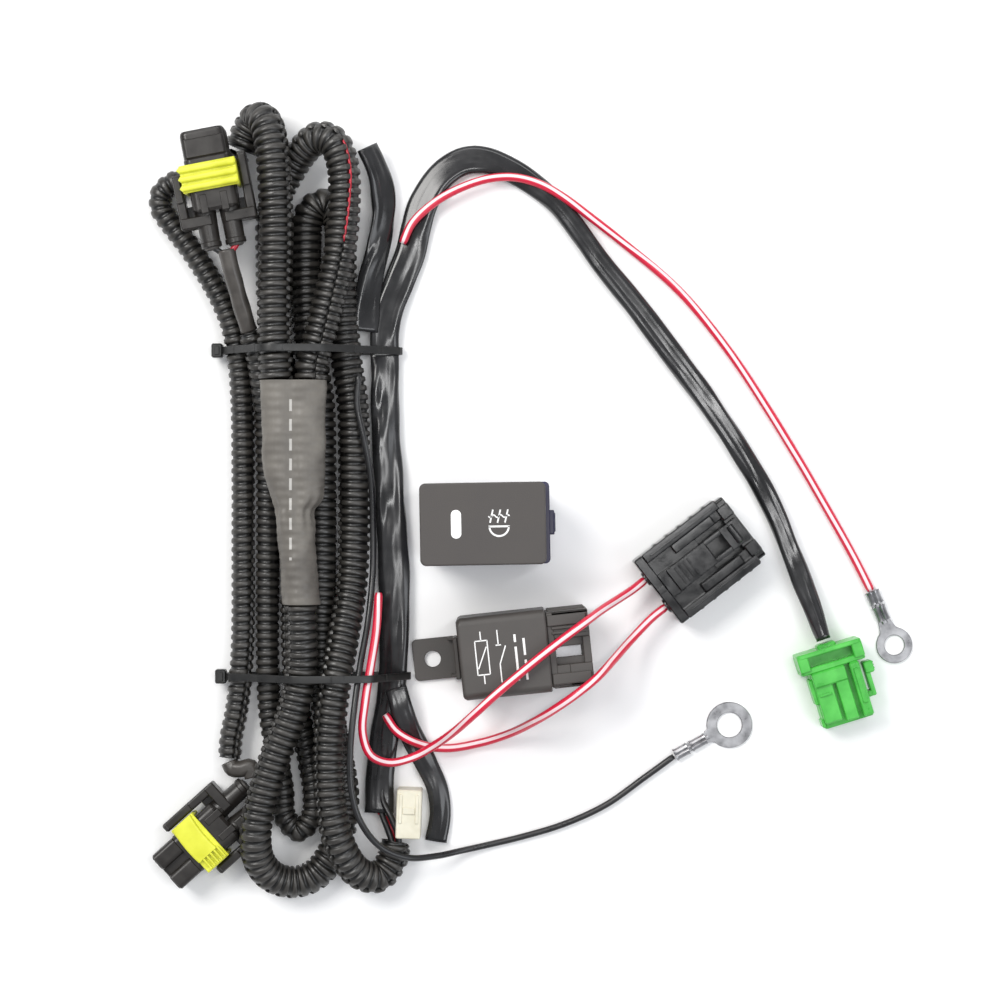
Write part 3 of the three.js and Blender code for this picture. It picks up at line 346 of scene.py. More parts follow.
# PVC insulation, extruded: smooth and glossy with a faint pull texture along it.
RED_PVC = "#d2213f"
STRIPE_MIDDLE = 0.24  # of a turn, near the top
STRIPE_HALF = 0.052
STRIPE_EDGE = 0.016
red_pvc = new_material("red_white_striped_pvc_extruded", RED_PVC, 0.28, ior=1.53)
along = add_node(red_pvc, "ShaderNodeUVMap", uv_map="along").outputs["UV"]
split = add_node(red_pvc, "ShaderNodeSeparateXYZ", Vector=along).outputs
wander = add_node(red_pvc, "ShaderNodeTexNoise", noise_dimensions="1D", W=split["Y"], Scale=14,
                  Detail=1).outputs["Fac"]
turned = compute(red_pvc, "SUBTRACT", split["X"], remap(red_pvc, wander, 0.2, 0.8, -0.11, 0.13))
stripe = band(red_pvc, turned, STRIPE_MIDDLE, STRIPE_HALF, STRIPE_EDGE)
feed(red_pvc, "Base Color", mix(red_pvc, stripe, colour(RED_PVC), colour("#efd9dc")))
emboss(red_pvc, noise(red_pvc, along, 400, 2), 0.04, 0.6)

black_pvc = mottled(
    "black_pvc_insulation_extruded", "#1d1d1e", 0.3, "#19191a", "#242425", 6, (0.24, 0.36), 0.02,
    ior=1.53,
)


def wire(name, node, route, diameter, material):
    """A round free wire along its route that stands in for its CAD node."""
    path = smooth_route(route, 0.0012)
    rings = round_rings(path, domed_ends(path, diameter / 2), 20)
    piece = skin(name, rings, material, "harness", (node,))


# Ring terminals: stamped from tinned copper strip about 1 mm thick, punched to an eye, with one
# crimp rolled round the bare strands and one round the insulation. Flat on the table.
SMALL_RING = {"outer": 6.0, "hole": 3.3, "barrel": 10.4, "neck": 3.0, "wire": 2.8}
LARGE_RING = {"outer": 7.6, "hole": 4.15, "barrel": 11.6, "neck": 1.5, "wire": 2.1}
SMALL_RING_PLACE = (165.95, -29.05, -157, 0)
LARGE_RING_PLACE = (100.65, -83.45, -61, 0)


def set_down(points, place):
    """Millimetre points turned about Z by the place's angle and moved there, in metres."""
    x, y, turn, z = place
    c, s = np.cos(np.radians(turn)), np.sin(np.radians(turn))
    return (points @ np.array([[c, s, 0], [-s, c, 0], [0, 0, 1]]) + (x, y, z)) / 1000


def loft(axis, stations, steps=4):
    """Rings of rounded rectangles carried along an axis, in millimetres. A station is (distance
    along, middle in the other two directions, half width in each, corner radius)."""
    s = np.array(stations, dtype=float)
    a = np.pi / 2 * (np.arange(4)[:, None] + np.linspace(0, 1, steps + 1)[None, :])
    right = (np.array([1, -1, -1, 1])[:, None] * np.ones_like(a)).ravel()
    top = (np.array([1, 1, -1, -1])[:, None] * np.ones_like(a)).ravel()
    r = s[:, 5:6]
    p = s[:, 1:2] + right * (s[:, 3:4] - r) + np.cos(a).ravel() * r
    q = top * (s[:, 4:5] - r) + np.sin(a).ravel() * r
    t = np.broadcast_to(s[:, 0:1], p.shape)
    if axis == "y":
        return np.stack([p, t, s[:, 2:3] + q], -1)
    if axis == "z":
        return np.stack([p, s[:, 2:3] - q, t], -1)
    return np.stack([t, p, s[:, 2:3] - q], -1)


def block(lo, hi, axis="y", r=0.4, edge=0.25):
    """Rings of a box from corner lo to corner hi, its corners rounded by r along the axis and
    its two ends chamfered by `edge`."""
    order = {"x": (0, 1, 2), "y": (1, 0, 2), "z": (2, 0, 1)}[axis]
    (t0, p0, q0), (t1, p1, q1) = ([c[i] for i in order] for c in (lo, hi))
    middle = ((p0 + p1) / 2, (q0 + q1) / 2)
    w, h = (p1 - p0) / 2, (q1 - q0) / 2
    small = max(r - edge, 0.05)
    return loft(axis, [
        (t0, *middle, w - edge, h - edge, small), (t0 + edge, *middle, w, h, r),
        (t1 - edge, *middle, w, h, r), (t1, *middle, w - edge, h - edge, small),
    ])


def blocks(*rows, axis="y"):
    """Boxes, one a row: x, y, z of the low corner, then of the high one, then r and edge."""
    return [block(row[:3], row[3:6], axis, *row[6:]) for row in rows]


def mirrored(*rows, axis="y"):
    """The same, with each box followed by its mirror image across x = 0."""
    return [box for x0, y0, z0, x1, *rest in rows for box in blocks(
        (x0, y0, z0, x1, *rest), (-x1, y0, z0, -x0, *rest), axis=axis)]


def washer(inner, outer, z0, z1, centre, edge=0.2, sides=72):
    """A flat ring about an upright axis: a chamfered rectangle carried round a circle."""
    profile = np.array([
        (inner + edge, z0), (outer - edge, z0), (outer, z0 + edge), (outer, z1 - edge),
        (outer - edge, z1), (inner + edge, z1), (inner, z1 - edge), (inner, z0 + edge),
    ])
    a = around(sides)
    x = centre[0] + profile[None, :, 0] * np.cos(a)[:, None]
    y = centre[1] + profile[None, :, 0] * np.sin(a)[:, None]
    z = np.broadcast_to(profile[None, :, 1], x.shape)
    return np.stack([x, y, z], -1)


def moulding(name, solids, place, material, body, replaced=(), wheels=()):
    """One piece of several closed solids: each is rings of points with its ends closed, or in
    `wheels` rings that come back to the first. Edges over 32 degrees stay crisp."""
    points, faces, start = [], [], 0
    for rings, is_wheel in [(s, False) for s in solids] + [(w, True) for w in wheels]:
        n, m = rings.shape[:2]
        rows = n if is_wheel else n - 1
        i = np.arange(rows)[:, None]
        j = np.arange(m)[None, :]
        k, after = (j + 1) % m, (i + 1) % n
        quads = np.stack([i * m + j, after * m + j, after * m + k, i * m + k], -1).reshape(-1, 4)
        faces += (quads + start).tolist()
        if not is_wheel:
            faces.append((start + np.arange(m)).tolist())
            faces.append((start + np.arange(n * m - 1, (n - 1) * m - 1, -1)).tolist())
        points.append(rings.reshape(-1, 3))
        start += n * m
    mesh = bpy.data.meshes.new(name)
    mesh.from_pydata(set_down(np.vstack(points), place).tolist(), [], faces)
    piece = finish_mesh(name, mesh, material, body, replaced)
    mesh.set_sharp_from_angle(angle=np.radians(32))
    weighted = piece.modifiers.new("even_shading", "WEIGHTED_NORMAL")
    weighted.keep_sharp = True
    return piece


def crimp(y0, y1, half_w, height, fold=0.45):
    """Rings of a rolled crimp: an ellipse flattened on the table, with the crease where its two
    wings meet along the top, and a bell mouth at either end."""
    y = np.array([y0, y0 + 0.35, y0 + 0.9, y1 - 0.9, y1 - 0.35, y1])
    flare = np.array([1.12, 1.08, 1.0, 1.0, 1.05, 1.08])[:, None]
    a = around(40)[None, :]
    crease = fold * np.exp(-((a - np.pi / 2) / 0.16) ** 2)
    x = half_w * flare * np.cos(a)
    z = height / 2 + (height / 2 * flare - crease) * np.sin(a)
    z = np.maximum(z, 0.02)
    return np.stack([x, np.broadcast_to(y[:, None], x.shape), z], -1)


# Tin plate over copper: dull silver with soft handling marks and fine scratches.
tin = mottled(
    "tin_plate_on_stamped_copper", "#a6a6a8", 0.34, "#838385", "#aeaeb0", 3.5, (0.26, 0.46), 0.03,
    6, metallic=1.0,
)


def ring_terminal(name, node, size, place):
    """Eye, neck and two crimps, from the wire's end at y = 0."""
    eye = size["barrel"] + size["neck"] + size["outer"]
    half = size["wire"] / 2
    neck = loft("y", [
        (size["barrel"] - 2.2, 0, 0.5, half + 0.5, 0.49, 0.2),
        (size["barrel"], 0, 0.5, half + 0.6, 0.49, 0.2),
        (size["barrel"] + size["neck"], 0, 0.5, half + 1.3, 0.49, 0.2),
        (eye - size["hole"] - 1.0, 0, 0.5, half + 2.2, 0.49, 0.2),
    ])
    bare = crimp(size["barrel"] * 0.52, size["barrel"], half + 0.75, size["wire"] + 0.5, 0.6)
    held = crimp(0, size["barrel"] * 0.42, half + 0.9, size["wire"] + 0.6, 0.5)
    floor = block((-half - 0.5, 0.5, 0.02), (half + 0.5, size["barrel"], 0.8), r=0.2)
    strands = loft("y", [
        (size["barrel"] * 0.36, 0, 1.2, half * 0.75, half * 0.6, half * 0.5),
        (size["barrel"] + 1.1, 0, 1.2, half * 0.7, half * 0.5, half * 0.4),
    ])
    return moulding(name, [neck, bare, held, floor, strands], place, tin, "harness", (node,),
                    [washer(size["hole"], size["outer"], 0, 1, (0, eye))])


small_eye = ring_terminal("m6_eye_terminal", "small_ring", SMALL_RING, SMALL_RING_PLACE)
large_eye = ring_terminal("m8_eye_terminal", "large_ring", LARGE_RING, LARGE_RING_PLACE)
wire("striped_wire_to_m6_eye", "small_ring_lead", SMALL_RING_LEAD, STRIPED_WIRE_D, red_pvc)
wire("black_wire_to_m8_eye", "large_ring_lead", LARGE_RING_LEAD, BLACK_WIRE_D, black_pvc)

# ---------------------------------------------------------------- switch plug on its two wires
# Injection-moulded black nylon plug, glossy, open at the front, with a rail down each side and a
# sprung latch tongue along its top. The two feed wires go in at the back through round entries.
SWITCH_PLUG_PLACE = (94.25, -29.15, -52.2, 0)

black_nylon = mottled(
    "black_nylon_injection_moulded", "#0e0e0f", 0.16, "#0a0a0b", "#131314", 5, (0.12, 0.24), 0.025,
    ior=1.55,
)

# Floor, walls and roof of the open box; the roof has a window under the latch tongue.
plug_parts = [
    *blocks(
        (-12, 2.6, 0, 12, 12, 10, 0.9, 0.3), (-12, 11.5, 0, 12, 36, 1.4, 0.5, 0.3),
        (-11.8, 11.5, 8.6, 11.8, 20.5, 10, 0.4, 0.2), (-11.8, 31.5, 8.6, 11.8, 36, 10, 0.4, 0.2),
        (-13, 0, 0, 13, 3.4, 13.6, 1.2, 0.4), (-4.6, 3, 9.5, 4.6, 8.6, 12.4, 0.4, 0.3),
        (-1.2, 0.2, 13.2, 1.2, 3.2, 14.1, 0.3, 0.25),
    ),
    *mirrored(
        (-12, 11.5, 0.4, -10.5, 36, 10, 0.5, 0.3), (-11.4, 12.5, 8.6, -6.2, 32, 10.2, 0.4, 0.2),
        (-13, 3, 2, -9.6, 33, 14.2, 0.5, 0.5), (-9.8, 12.5, 9.5, -6.4, 29, 13.2, 0.5, 0.5),
        (-9.8, 31.6, 9.5, -5.2, 36, 12.9, 0.5, 0.4),
        (-11.4, 5.5, 13.9, -10.8, 31, 14.5, 0.15, 0.2),
    ),
    *[block((side * 12.4 - 0.9, y, 3.2), (side * 12.4 + 0.9, y + 1.4, 12.6), r=0.3)
      for side in (-1, 1) for y in (8, 13, 18, 23, 28)],
    *[loft("y", [(y, side * 5.6, 7.2, r, r, r - 0.01) for y, r in
                 ((-0.6, 2.2), (-0.4, 2.5), (0.2, 2.5), (0.2, 2.5))], 8) for side in (-1, 1)],
]
switch_plug = moulding("switch_plug_moulding", plug_parts, SWITCH_PLUG_PLACE, black_nylon,
                       "harness", ("switch_plug_housing",))

# The tongue springs from the body near the back; its window shows the dark cavity below.
tongue_parts = [
    *blocks(
        (-4.2, 6.4, 13.1, 4.2, 22, 14.7, 0.35, 0.35),
        (-4.2, 28, 13.1, 4.2, 35.4, 14.7, 0.35, 0.35), (-4.2, 6.4, 11.9, 4.2, 8.2, 13.4, 0.3, 0.2),
    ),
    *mirrored((-4.2, 21.6, 13.1, -2.6, 28.4, 14.7, 0.3, 0.3)),
    *blocks((-3.4, 30.6, 13.3, 3.4, 33, 15.9, 0.9, 0.3), axis="x"),
    *[block((-3.2, 9 + 1.7 * i, 14.4), (3.2, 9.7 + 1.7 * i, 15.0), axis="x", r=0.2, edge=0.15)
      for i in range(4)],
]
switch_latch = moulding("switch_plug_tongue", tongue_parts, SWITCH_PLUG_PLACE, black_nylon,
                        "switch_plug_latch", ("switch_plug_latch",))

plug_contacts = dress(["switch_plug_terminal_left", "switch_plug_terminal_right"], tin)

wire("striped_wire_1_to_switch_plug", "switch_wire_1", SWITCH_WIRE_1, STRIPED_WIRE_D, red_pvc)
wire("striped_wire_2_to_switch_plug", "switch_wire_2", SWITCH_WIRE_2, STRIPED_WIRE_D, red_pvc)

# ---------------------------------------------------------------- green plug on its flat sleeve
# Two-way plug moulded in bright green nylon on the free end of a glossy PVC sleeve: a wide
# collar with a recessed tray at the back, then the slotted body, with a squeeze latch beside it.
SLEEVE_W = 0.0094
SLEEVE_T = 0.0026
GREEN_LEAD = traced(
    (4.6, 50.9, 2.7), (4.8, 58, 3), (6.4, 66, 2.6), (9.6, 74.5, 2), (13, 83, 1.6), (15, 91.6, 1.6),
    (17.6, 100.5, 1.6), (23, 109, 1.6), (30.6, 114, 1.6), (38, 114.4, 1.6), (46, 111.4, 1.6),
    (54.4, 106.2, 1.6), (63, 98.4, 1.6), (76, 81, 1.6), (89.4, 64.2, 1.6), (99, 51.4, 1.6),
    (109, 38, 1.6), (122.4, 18.4, 1.6), (132, 1.6, 1.8), (139.4, -16, 2.8), (145.4, -32, 5),
    (149.6, -44.4, 6.6),
)

GREEN_PLACE = (150.05, -46.95, -163, 0)


def soft_sleeve(path, width, thickness, roll=0.0, lumps=0.00022, seed=3, sides=36):
    """Rings of a flattened tube round loose wires: a squared ellipse with half width and half
    thickness along the path, turned by roll about it, and creased by waves of random phase."""
    rng = np.random.default_rng(seed)
    _, side, up = level_frames(path)
    n = len(path)
    a = around(sides)[None, :]
    s = run_along(path)[:, None]
    half_w = np.broadcast_to(width, n)[:, None] / 2
    half_t = np.broadcast_to(thickness, n)[:, None] / 2
    x = half_w * np.sign(np.cos(a)) * np.abs(np.cos(a)) ** 0.85
    z = half_t * np.sign(np.sin(a)) * np.abs(np.sin(a)) ** 0.7
    wave = np.zeros((n, sides))
    for _ in range(14):
        pitch = rng.uniform(0.012, 0.06)
        turns = rng.integers(1, 5)
        phase = rng.uniform(0, 2 * np.pi)
        wave += np.cos(2 * np.pi * s / pitch + turns * a + phase) * rng.uniform(0.3, 1.0)
    wave *= lumps / 4
    sway = 0.6 * np.sin(s / 0.03)
    wires = 0.06 * half_t * np.cos(3 * np.pi * x / half_w + sway) * np.abs(np.sin(a))
    ends = np.clip(np.minimum(s, s[-1] - s) / 0.004, 0, 1)
    z = z + (wires + wave * np.sin(a)) * ends
    x = x + wave * np.cos(a) * ends
    lean = np.broadcast_to(roll, n)[:, None]
    across = x * np.cos(lean) - z * np.sin(lean)
    above = x * np.sin(lean) + z * np.cos(lean)
    return path[:, None] + across[..., None] * side[:, None] + above[..., None] * up[:, None]


# Soft PVC sleeving, extruded and pulled over the wires: wet-looking gloss with shallow creases.
sleeve_pvc = mottled(
    "black_pvc_sleeving_extruded", "#222223", 0.17, "#1a1a1b", "#2d2d2e", 9, (0.12, 0.24), 0.05, 3,
    ior=1.54,
)

green_nylon = mottled(
    "green_nylon_injection_moulded", "#3fae3a", 0.3, "#38a336", "#55c74e", 7, (0.24, 0.38), 0.02,
    ior=1.53, Subsurface_Weight=0.08, Subsurface_Radius=(0.0006, 0.0012, 0.0004),
)

green_parts = [
    loft("y", [
        (6.5, 0, 4.7, 8.25, 4.7, 1.2), (25.6, 0, 4.7, 8.25, 4.7, 1.2),
        (26, 0, 4.7, 7.95, 4.4, 1.0), (26, 0, 4.7, 7.0, 3.7, 0.9),
        (25.6, 0, 4.7, 6.75, 3.4, 0.8), (10, 0, 4.7, 6.75, 3.4, 0.8),
    ]),
    *blocks(
        (-11, 0, 0, 11, 1.6, 13.6, 1.4, 0.35), (-11, 5, 0, 11, 7, 12.6, 1.4, 0.35),
        (-10.4, 0.8, 0.2, 10.4, 6, 8.6, 1.0, 0.3), (-8.25, 6.8, 9, -4.9, 25.6, 13.2, 0.6, 0.7),
        (-7.4, 9, 12.8, -5.8, 21, 13.8, 0.3, 0.3), (-3.4, 6.8, 9, 0.9, 25.2, 12.3, 0.5, 0.5),
        (2, 6.8, 9, 7.9, 24.4, 11.8, 0.5, 0.5), (-3.4, 7, 11.8, 7.9, 12, 12.9, 0.4, 0.5),
        (7.7, 9, 2.4, 9.1, 17.6, 9.8, 0.4, 0.4), (7.7, 22.6, 2.4, 8.9, 25.4, 9.8, 0.4, 0.3),
        (-3.2, -1.2, 3.2, 3.2, 0.6, 9.8, 0.8, 0.4),
    ),
    *mirrored((-11, 1.2, 0, -7.4, 5.8, 13.4, 0.6, 0.1)),
    *blocks((3, 14.4, 11.4, 7.2, 15.2, 12.3, 0.2, 0.2), axis="x"),
]
green_plug = moulding("green_plug_moulding", green_parts, GREEN_PLACE, green_nylon, "harness",
                      ("green_plug_housing",))
latch_parts = [
    *blocks(
        (-11.35, 8.4, 3.5, -9.75, 20, 9, 0.35, 0.35), (-12.95, 8.4, 3, -9.75, 12.4, 9.5, 0.5, 0.5),
    ),
    *[block((-13.15, 8.9 + i, 3.4), (-12.6, 9.3 + i, 9.1), axis="z", r=0.15, edge=0.1)
      for i in range(3)],
    block((-9.95, 18, 3.5), (-8.55, 20, 9), r=0.3, edge=0.2),
]
green_latch = moulding("green_plug_squeeze_latch", latch_parts, GREEN_PLACE, green_nylon,
                       "green_plug_latch", ("green_plug_latch",))
green_contacts = dress(["green_plug_terminal_left", "green_plug_terminal_right"], tin)

path = smooth_route(GREEN_LEAD, 0.0015)
run = run_along(path)
free = np.clip((run - 0.075) / 0.03, 0, 1)
neck = np.clip((run[-1] - run) / 0.02, 0, 1)
width = SLEEVE_W * (1.02 - 0.26 * free + 0.05 * np.sin(run / 0.021)) * (0.62 + 0.38 * neck)
thickness = SLEEVE_T * (1.0 + 0.75 * free) + 0.001 * (1 - neck)
over = np.exp(-((run - 0.055) / 0.014) ** 2)
path_up = path + np.outer(0.0009 * free, [0, 0, 1])
rings = soft_sleeve(path_up, width, thickness, 0.25 * over)
green_sleeve = skin("glossy_sleeve_to_green_plug", rings, sleeve_pvc, "harness", ("green_lead",))

# ---------------------------------------------------------------- sleeves along the bundle
# The same PVC sleeving where the two ties hold it down the right side of the bundle, the slack
# tail below the lower tie, and a short folded piece beside the second arch.
SIDE_SLEEVE = traced(
    (2.8, -102, 2.8), (3.2, -90, 2.2), (4.6, -76, 2.4), (6.6, -64, 2.6), (7.4, -56, 2.7),
    (7.8, -42, 2.7), (7.8, -24, 2.7), (6.8, -4, 2.7), (5.4, 16, 2.7), (4.8, 36, 2.7),
    (4.6, 50.6, 2.7),
)
TAIL_SLEEVE = traced(
    (8.4, -60.4, 6.4), (10.6, -68, 6.4), (14, -77, 3.6), (18.6, -86, 1.6), (22, -94, 1.5),
    (23, -102, 1.5), (21.6, -111.6, 1.5),
)
SHORT_SLEEVE = np.array([
    (-1.2, 117.5, 9.5), (1, 112.5, 8.6), (3.3, 106, 6.8), (4.2, 99, 5.2), (3.6, 92, 4.6),
    (2, 84, 4.5), (0, 75, 4.7), (-1.5, 66, 5.2), (-2.2, 57, 5.6),
]) / 1000

path = smooth_route(SIDE_SLEEVE, 0.0015)
run = run_along(path)
tied = np.exp(-((path[:, 1] + 0.057) / 0.006) ** 2) + np.exp(-((path[:, 1] - 0.0503) / 0.006) ** 2)
puff = 1.0 + 0.5 * (1 - np.clip(tied, 0, 1))
rings = soft_sleeve(path + np.outer(0.0004 * (puff - 1), [0, 0, 1]),
                    SLEEVE_W * (1.04 - 0.05 * np.sin(run / 0.017)),
                    SLEEVE_T * puff, 0.12 * np.sin(run / 0.03), 0.0003, 11)
skin("glossy_sleeve_along_bundle", rings, sleeve_pvc, "harness", ("side_sleeve",))

path = smooth_route(TAIL_SLEEVE, 0.0012)
run = run_along(path)
rings = soft_sleeve(path, (SLEEVE_W - 0.002) * (1 + 0.06 * np.sin(run / 0.009)),
                    SLEEVE_T * 0.98, 0.15 * np.sin(run / 0.018), 0.0002, 5)
skin("slack_sleeve_tail", rings, sleeve_pvc, "harness", ("tail_sleeve",))

path = smooth_route(SHORT_SLEEVE, 0.0012)
run = run_along(path)
rings = soft_sleeve(path, 0.0088 * (1 + 0.05 * np.sin(run / 0.008)), 0.003,
                    0.75 - 6.0 * run, 0.00035, 8)
skin("short_folded_sleeve", rings, sleeve_pvc, "harness", ())

# ---------------------------------------------------------------- split-conduit looms
# Black polyethylene conduit, blow-moulded in rings 2.9 mm apart and slit down one side so that
# wires can be laid in. The cut edges lie together, a little out of step, as a jagged seam.
LOOM_PITCH = 0.0029
LEG_D = 0.0078
RISER_1_D = 0.0114
RISER_2_D = 0.0108
TRUNK_D = 0.0106
LEG_1_UPPER = traced(
    (-30.1, 40.9, 19.4), (-30.2, 47, 19.4), (-30.6, 58, 19), (-30.4, 74, 18.2), (-30, 91, 18.2),
    (-30.6, 107, 18.2), (-31.6, 117, 17.2), (-33.8, 125, 13.8), (-37.2, 126.8, 9.4),
    (-40.4, 122.4, 7.3), (-42.6, 117.2, 6.8),
)
LEG_1_LOWER = traced(
    (-43.3, 115.6, 6.8), (-45.8, 112.2, 5.9), (-51, 109.6, 5.3), (-58, 108, 5.3),
    (-64.5, 106.6, 5.3), (-68.8, 103, 5.3), (-69, 98, 5.3), (-65.8, 93, 5.3), (-60, 85.5, 5.3),
    (-54, 76.5, 5.3), (-49, 67.5, 5.3), (-45.6, 59, 5.3), (-43.6, 49, 5.3), (-42.4, 35, 5.3),
    (-42, 12, 5.3), (-42, -13, 5.3), (-42, -36, 5.3), (-42.6, -54, 5.3), (-44.2, -68, 5.3),
    (-46, -77, 5.3), (-46.4, -83.4, 5.3),
)
LEG_2_UPPER = traced(
    (-18.7, 40.9, 18.4), (-18.5, 45, 18.4), (-15.6, 56, 18.2), (-12, 70, 18), (-9, 85, 18),
    (-7.8, 100, 18), (-8.4, 111, 17.6), (-11.2, 118.2, 16.2), (-16.2, 120.4, 13.6),
    (-21.5, 117, 9.8), (-26.4, 110.4, 7.4), (-30.6, 102.5, 6.8), (-32.4, 93, 6.8),
    (-32.4, 80, 6.8), (-32.3, 68.3, 6.8),
)
LEG_2_LOWER = traced(
    (-32.3, 67.4, 5.9), (-31.8, 60, 5.4), (-28.8, 48, 5.3), (-26.6, 33, 5.3), (-25.8, 16, 5.3),
    (-25.8, -13, 5.3), (-25.8, -38, 5.3), (-25.2, -54, 5.3), (-23.2, -70, 5.3), (-20.4, -84, 5.3),
    (-18.6, -95, 5.3), (-19.2, -102.8, 5.3), (-23.6, -107.6, 5.3), (-28.2, -103, 5.3),
    (-29, -94, 5.3), (-31, -82, 5.3), (-33.2, -68, 5.3), (-33.9, -50, 5.3), (-33.9, -18, 5.3),
    (-33.9, 12, 5.3), (-34.5, 29, 6.3), (-35.4, 39, 8.7), (-36.6, 48, 11.3), (-39.2, 56.6, 12.1),
)
TRUNK = traced(
    (-21.8, -32.7, 19), (-21.7, -40, 19), (-21.9, -54, 17.6), (-25, -68, 17.6), (-30.4, -82, 17.6),
    (-34.6, -95.5, 17.6), (-36.8, -107, 17.6), (-36, -116.6, 13.1), (-31.8, -122.4, 9.1),
    (-25.6, -124.4, 6.7), (-19, -122.6, 6.1), (-13.4, -116.6, 6.1), (-9.8, -107, 6.7),
    (-8.8, -96, 6.7), (-10.6, -84, 6.7), (-13.6, -70, 6.7), (-15.4, -55, 6.7), (-16.3, -38, 6.7),
    (-16.3, -8, 6.7), (-16.4, 18, 6.7), (-16.8, 33, 6.7), (-19.1, 48, 6.7), (-20.9, 66, 6.7),
    (-21.3, 86, 6.7), (-20.9, 92.8, 6.7), (-18.9, 97.4, 6.7), (-15.5, 99.2, 6.7),
    (-12.1, 97.4, 6.7), (-10.1, 92.8, 6.7), (-9.7, 86, 6.7), (-9.4, 66, 6.7), (-7.8, 48, 6.7),
    (-5.7, 33, 6.7), (-5.3, 14, 6.7), (-5.3, -10, 6.7), (-6, -26, 7.9), (-8.2, -42, 12.7),
    (-10.8, -58, 17.2), (-12.6, -74, 18), (-12.8, -90, 18), (-11.6, -102, 17.8),
    (-8.6, -113, 15.6), (-3.4, -121, 10.5), (2.6, -122.6, 7.3), (7, -117.6, 5.7),
    (8.4, -111.4, 5.5),
)

# Each station of one ring: how far through the pitch, and how deep below the crest.
RING_STATIONS = np.array([
    (0.00, 0.55), (0.07, 0.14), (0.17, 0.0), (0.43, 0.0), (0.53, 0.14), (0.60, 0.55),
    (0.67, 1.0), (0.93, 1.0),
])
SEAM_DEPTH = 0.0015

# Polyethylene: waxy black. Painted shade: the colour runs from lighter on the crests to near black
# in the grooves, the seam and the open ends, by groove depth; random dust mottles the colour and
# the roughness.
conduit_pe = new_material("black_polyethylene_split_conduit", "#1c1b1a", 0.4,
                          Specular_IOR_Level=0.62)
relief = add_node(conduit_pe, "ShaderNodeAttribute", attribute_name="relief").outputs["Fac"]
place = object_place(conduit_pe)
dust = noise(conduit_pe, place, 190, 5)
# Painted shade: groove depth runs the colour from the lit crests to near black in the grooves.
deep = two_tone(conduit_pe, relief, "#33312e", "#0b0b0a", (0, 1))
worn = two_tone(conduit_pe, dust, (0.75, 0.75, 0.75, 1), (1.25, 1.22, 1.18, 1), (0.35, 0.75))
feed(conduit_pe, "Base Color", mix(conduit_pe, 1.0, deep, worn, "MULTIPLY"))
feed(conduit_pe, "Roughness", remap(conduit_pe, dust, 0.3, 0.7, 0.3, 0.46))
emboss(conduit_pe, noise(conduit_pe, place, 1500, 3), 0.03, 0.5)


def loom(name, node, route, diameter, seam_turn, sides=24):
    """Rings of a corrugated tube with a seam: the radius drops by a groove's depth through each
    pitch, the seam's edges turn in to its floor, and the rings lean along the tube round the
    turn so that they meet out of step at the seam. Each end is an open rim with a throat; the
    groove depth, full at the seam and the throats, goes on the mesh as painted shade."""
    rough_run = run_along(smooth_route(route, 0.0005))[-1]
    ribs = int(rough_run / LOOM_PITCH)
    at = (np.arange(ribs)[:, None] + RING_STATIONS[None, :, 0]).ravel() * rough_run / ribs
    at = np.append(at, rough_run)
    depth = np.append(np.tile(RING_STATIONS[:, 1], ribs), RING_STATIONS[0, 1])
    fine_path = smooth_route(route, 0.0003)
    fine_run = run_along(fine_path)
    fine_run *= rough_run / fine_run[-1]
    path = resample(at, fine_run, fine_path)
    smooth = resample(at, fine_run, np.hstack(level_frames(fine_path)))
    tangent, side, up = smooth[:, :3], smooth[:, 3:6], smooth[:, 6:]
    radius = diameter / 2
    lip = 0.00028 / radius
    a = np.concatenate([np.linspace(lip, 2 * np.pi - lip, sides), [-0.5 * lip, 0.5 * lip]])
    outer = np.append(np.ones(sides), [0, 0])
    reach = radius - outer * depth[:, None] * 0.072 * diameter - (1 - outer) * SEAM_DEPTH
    wander = seam_turn(at)[:, None] + a[None, :]
    lean = 0.55 * np.sin(at / 0.043 + diameter * 900)[:, None] * (a / (2 * np.pi) - 0.5)
    lean = np.where(outer > 0, lean, 0) * LOOM_PITCH
    out = np.cos(wander)[..., None] * side[:, None] + np.sin(wander)[..., None] * up[:, None]
    rings = path[:, None] + reach[..., None] * out + lean[..., None] * tangent[:, None]
    throat = 0.74 * radius * out
    first, last = tangent[0] * 0.004, -tangent[-1] * 0.004
    rings = np.concatenate([
        path[:1, None] + throat[:1] * 0.98 + first, path[:1, None] + throat[:1] * 1.1, rings,
        path[-1:, None] + throat[-1:] * 1.1, path[-1:, None] + throat[-1:] * 0.98 + last,
    ])
    # Painted shade: full depth on the seam floor and the end throats, which the material paints
    # near black.
    groove = np.where(outer > 0, depth[:, None], 1.0)
    groove = np.concatenate([np.ones((2, len(a))), groove, np.ones((2, len(a)))])
    skin(name, rings, conduit_pe, "harness", (node,), groove)


loom("loom_first_arch", "loom_leg_1_upper", LEG_1_UPPER, RISER_1_D,
     lambda s: 0.35 + 0.25 * np.sin(s / 0.03))
loom("loom_long_left_leg", "loom_leg_1_lower", LEG_1_LOWER, LEG_D,
     lambda s: 2.4 + 0.5 * np.sin(s / 0.06))
loom("loom_second_arch", "loom_leg_2_upper", LEG_2_UPPER, RISER_2_D,
     lambda s: 1.05 + 0.35 * np.sin(s / 0.025 + 0.4))
loom("loom_inner_leg", "loom_leg_2_lower", LEG_2_LOWER, LEG_D,
     lambda s: 0.6 + 0.6 * np.sin(s / 0.07 + 1))
loom("loom_trunk_loops", "loom_trunk", TRUNK, TRUNK_D,
     lambda s: 0.2 + 0.5 * np.sin(s / 0.09 + 2))

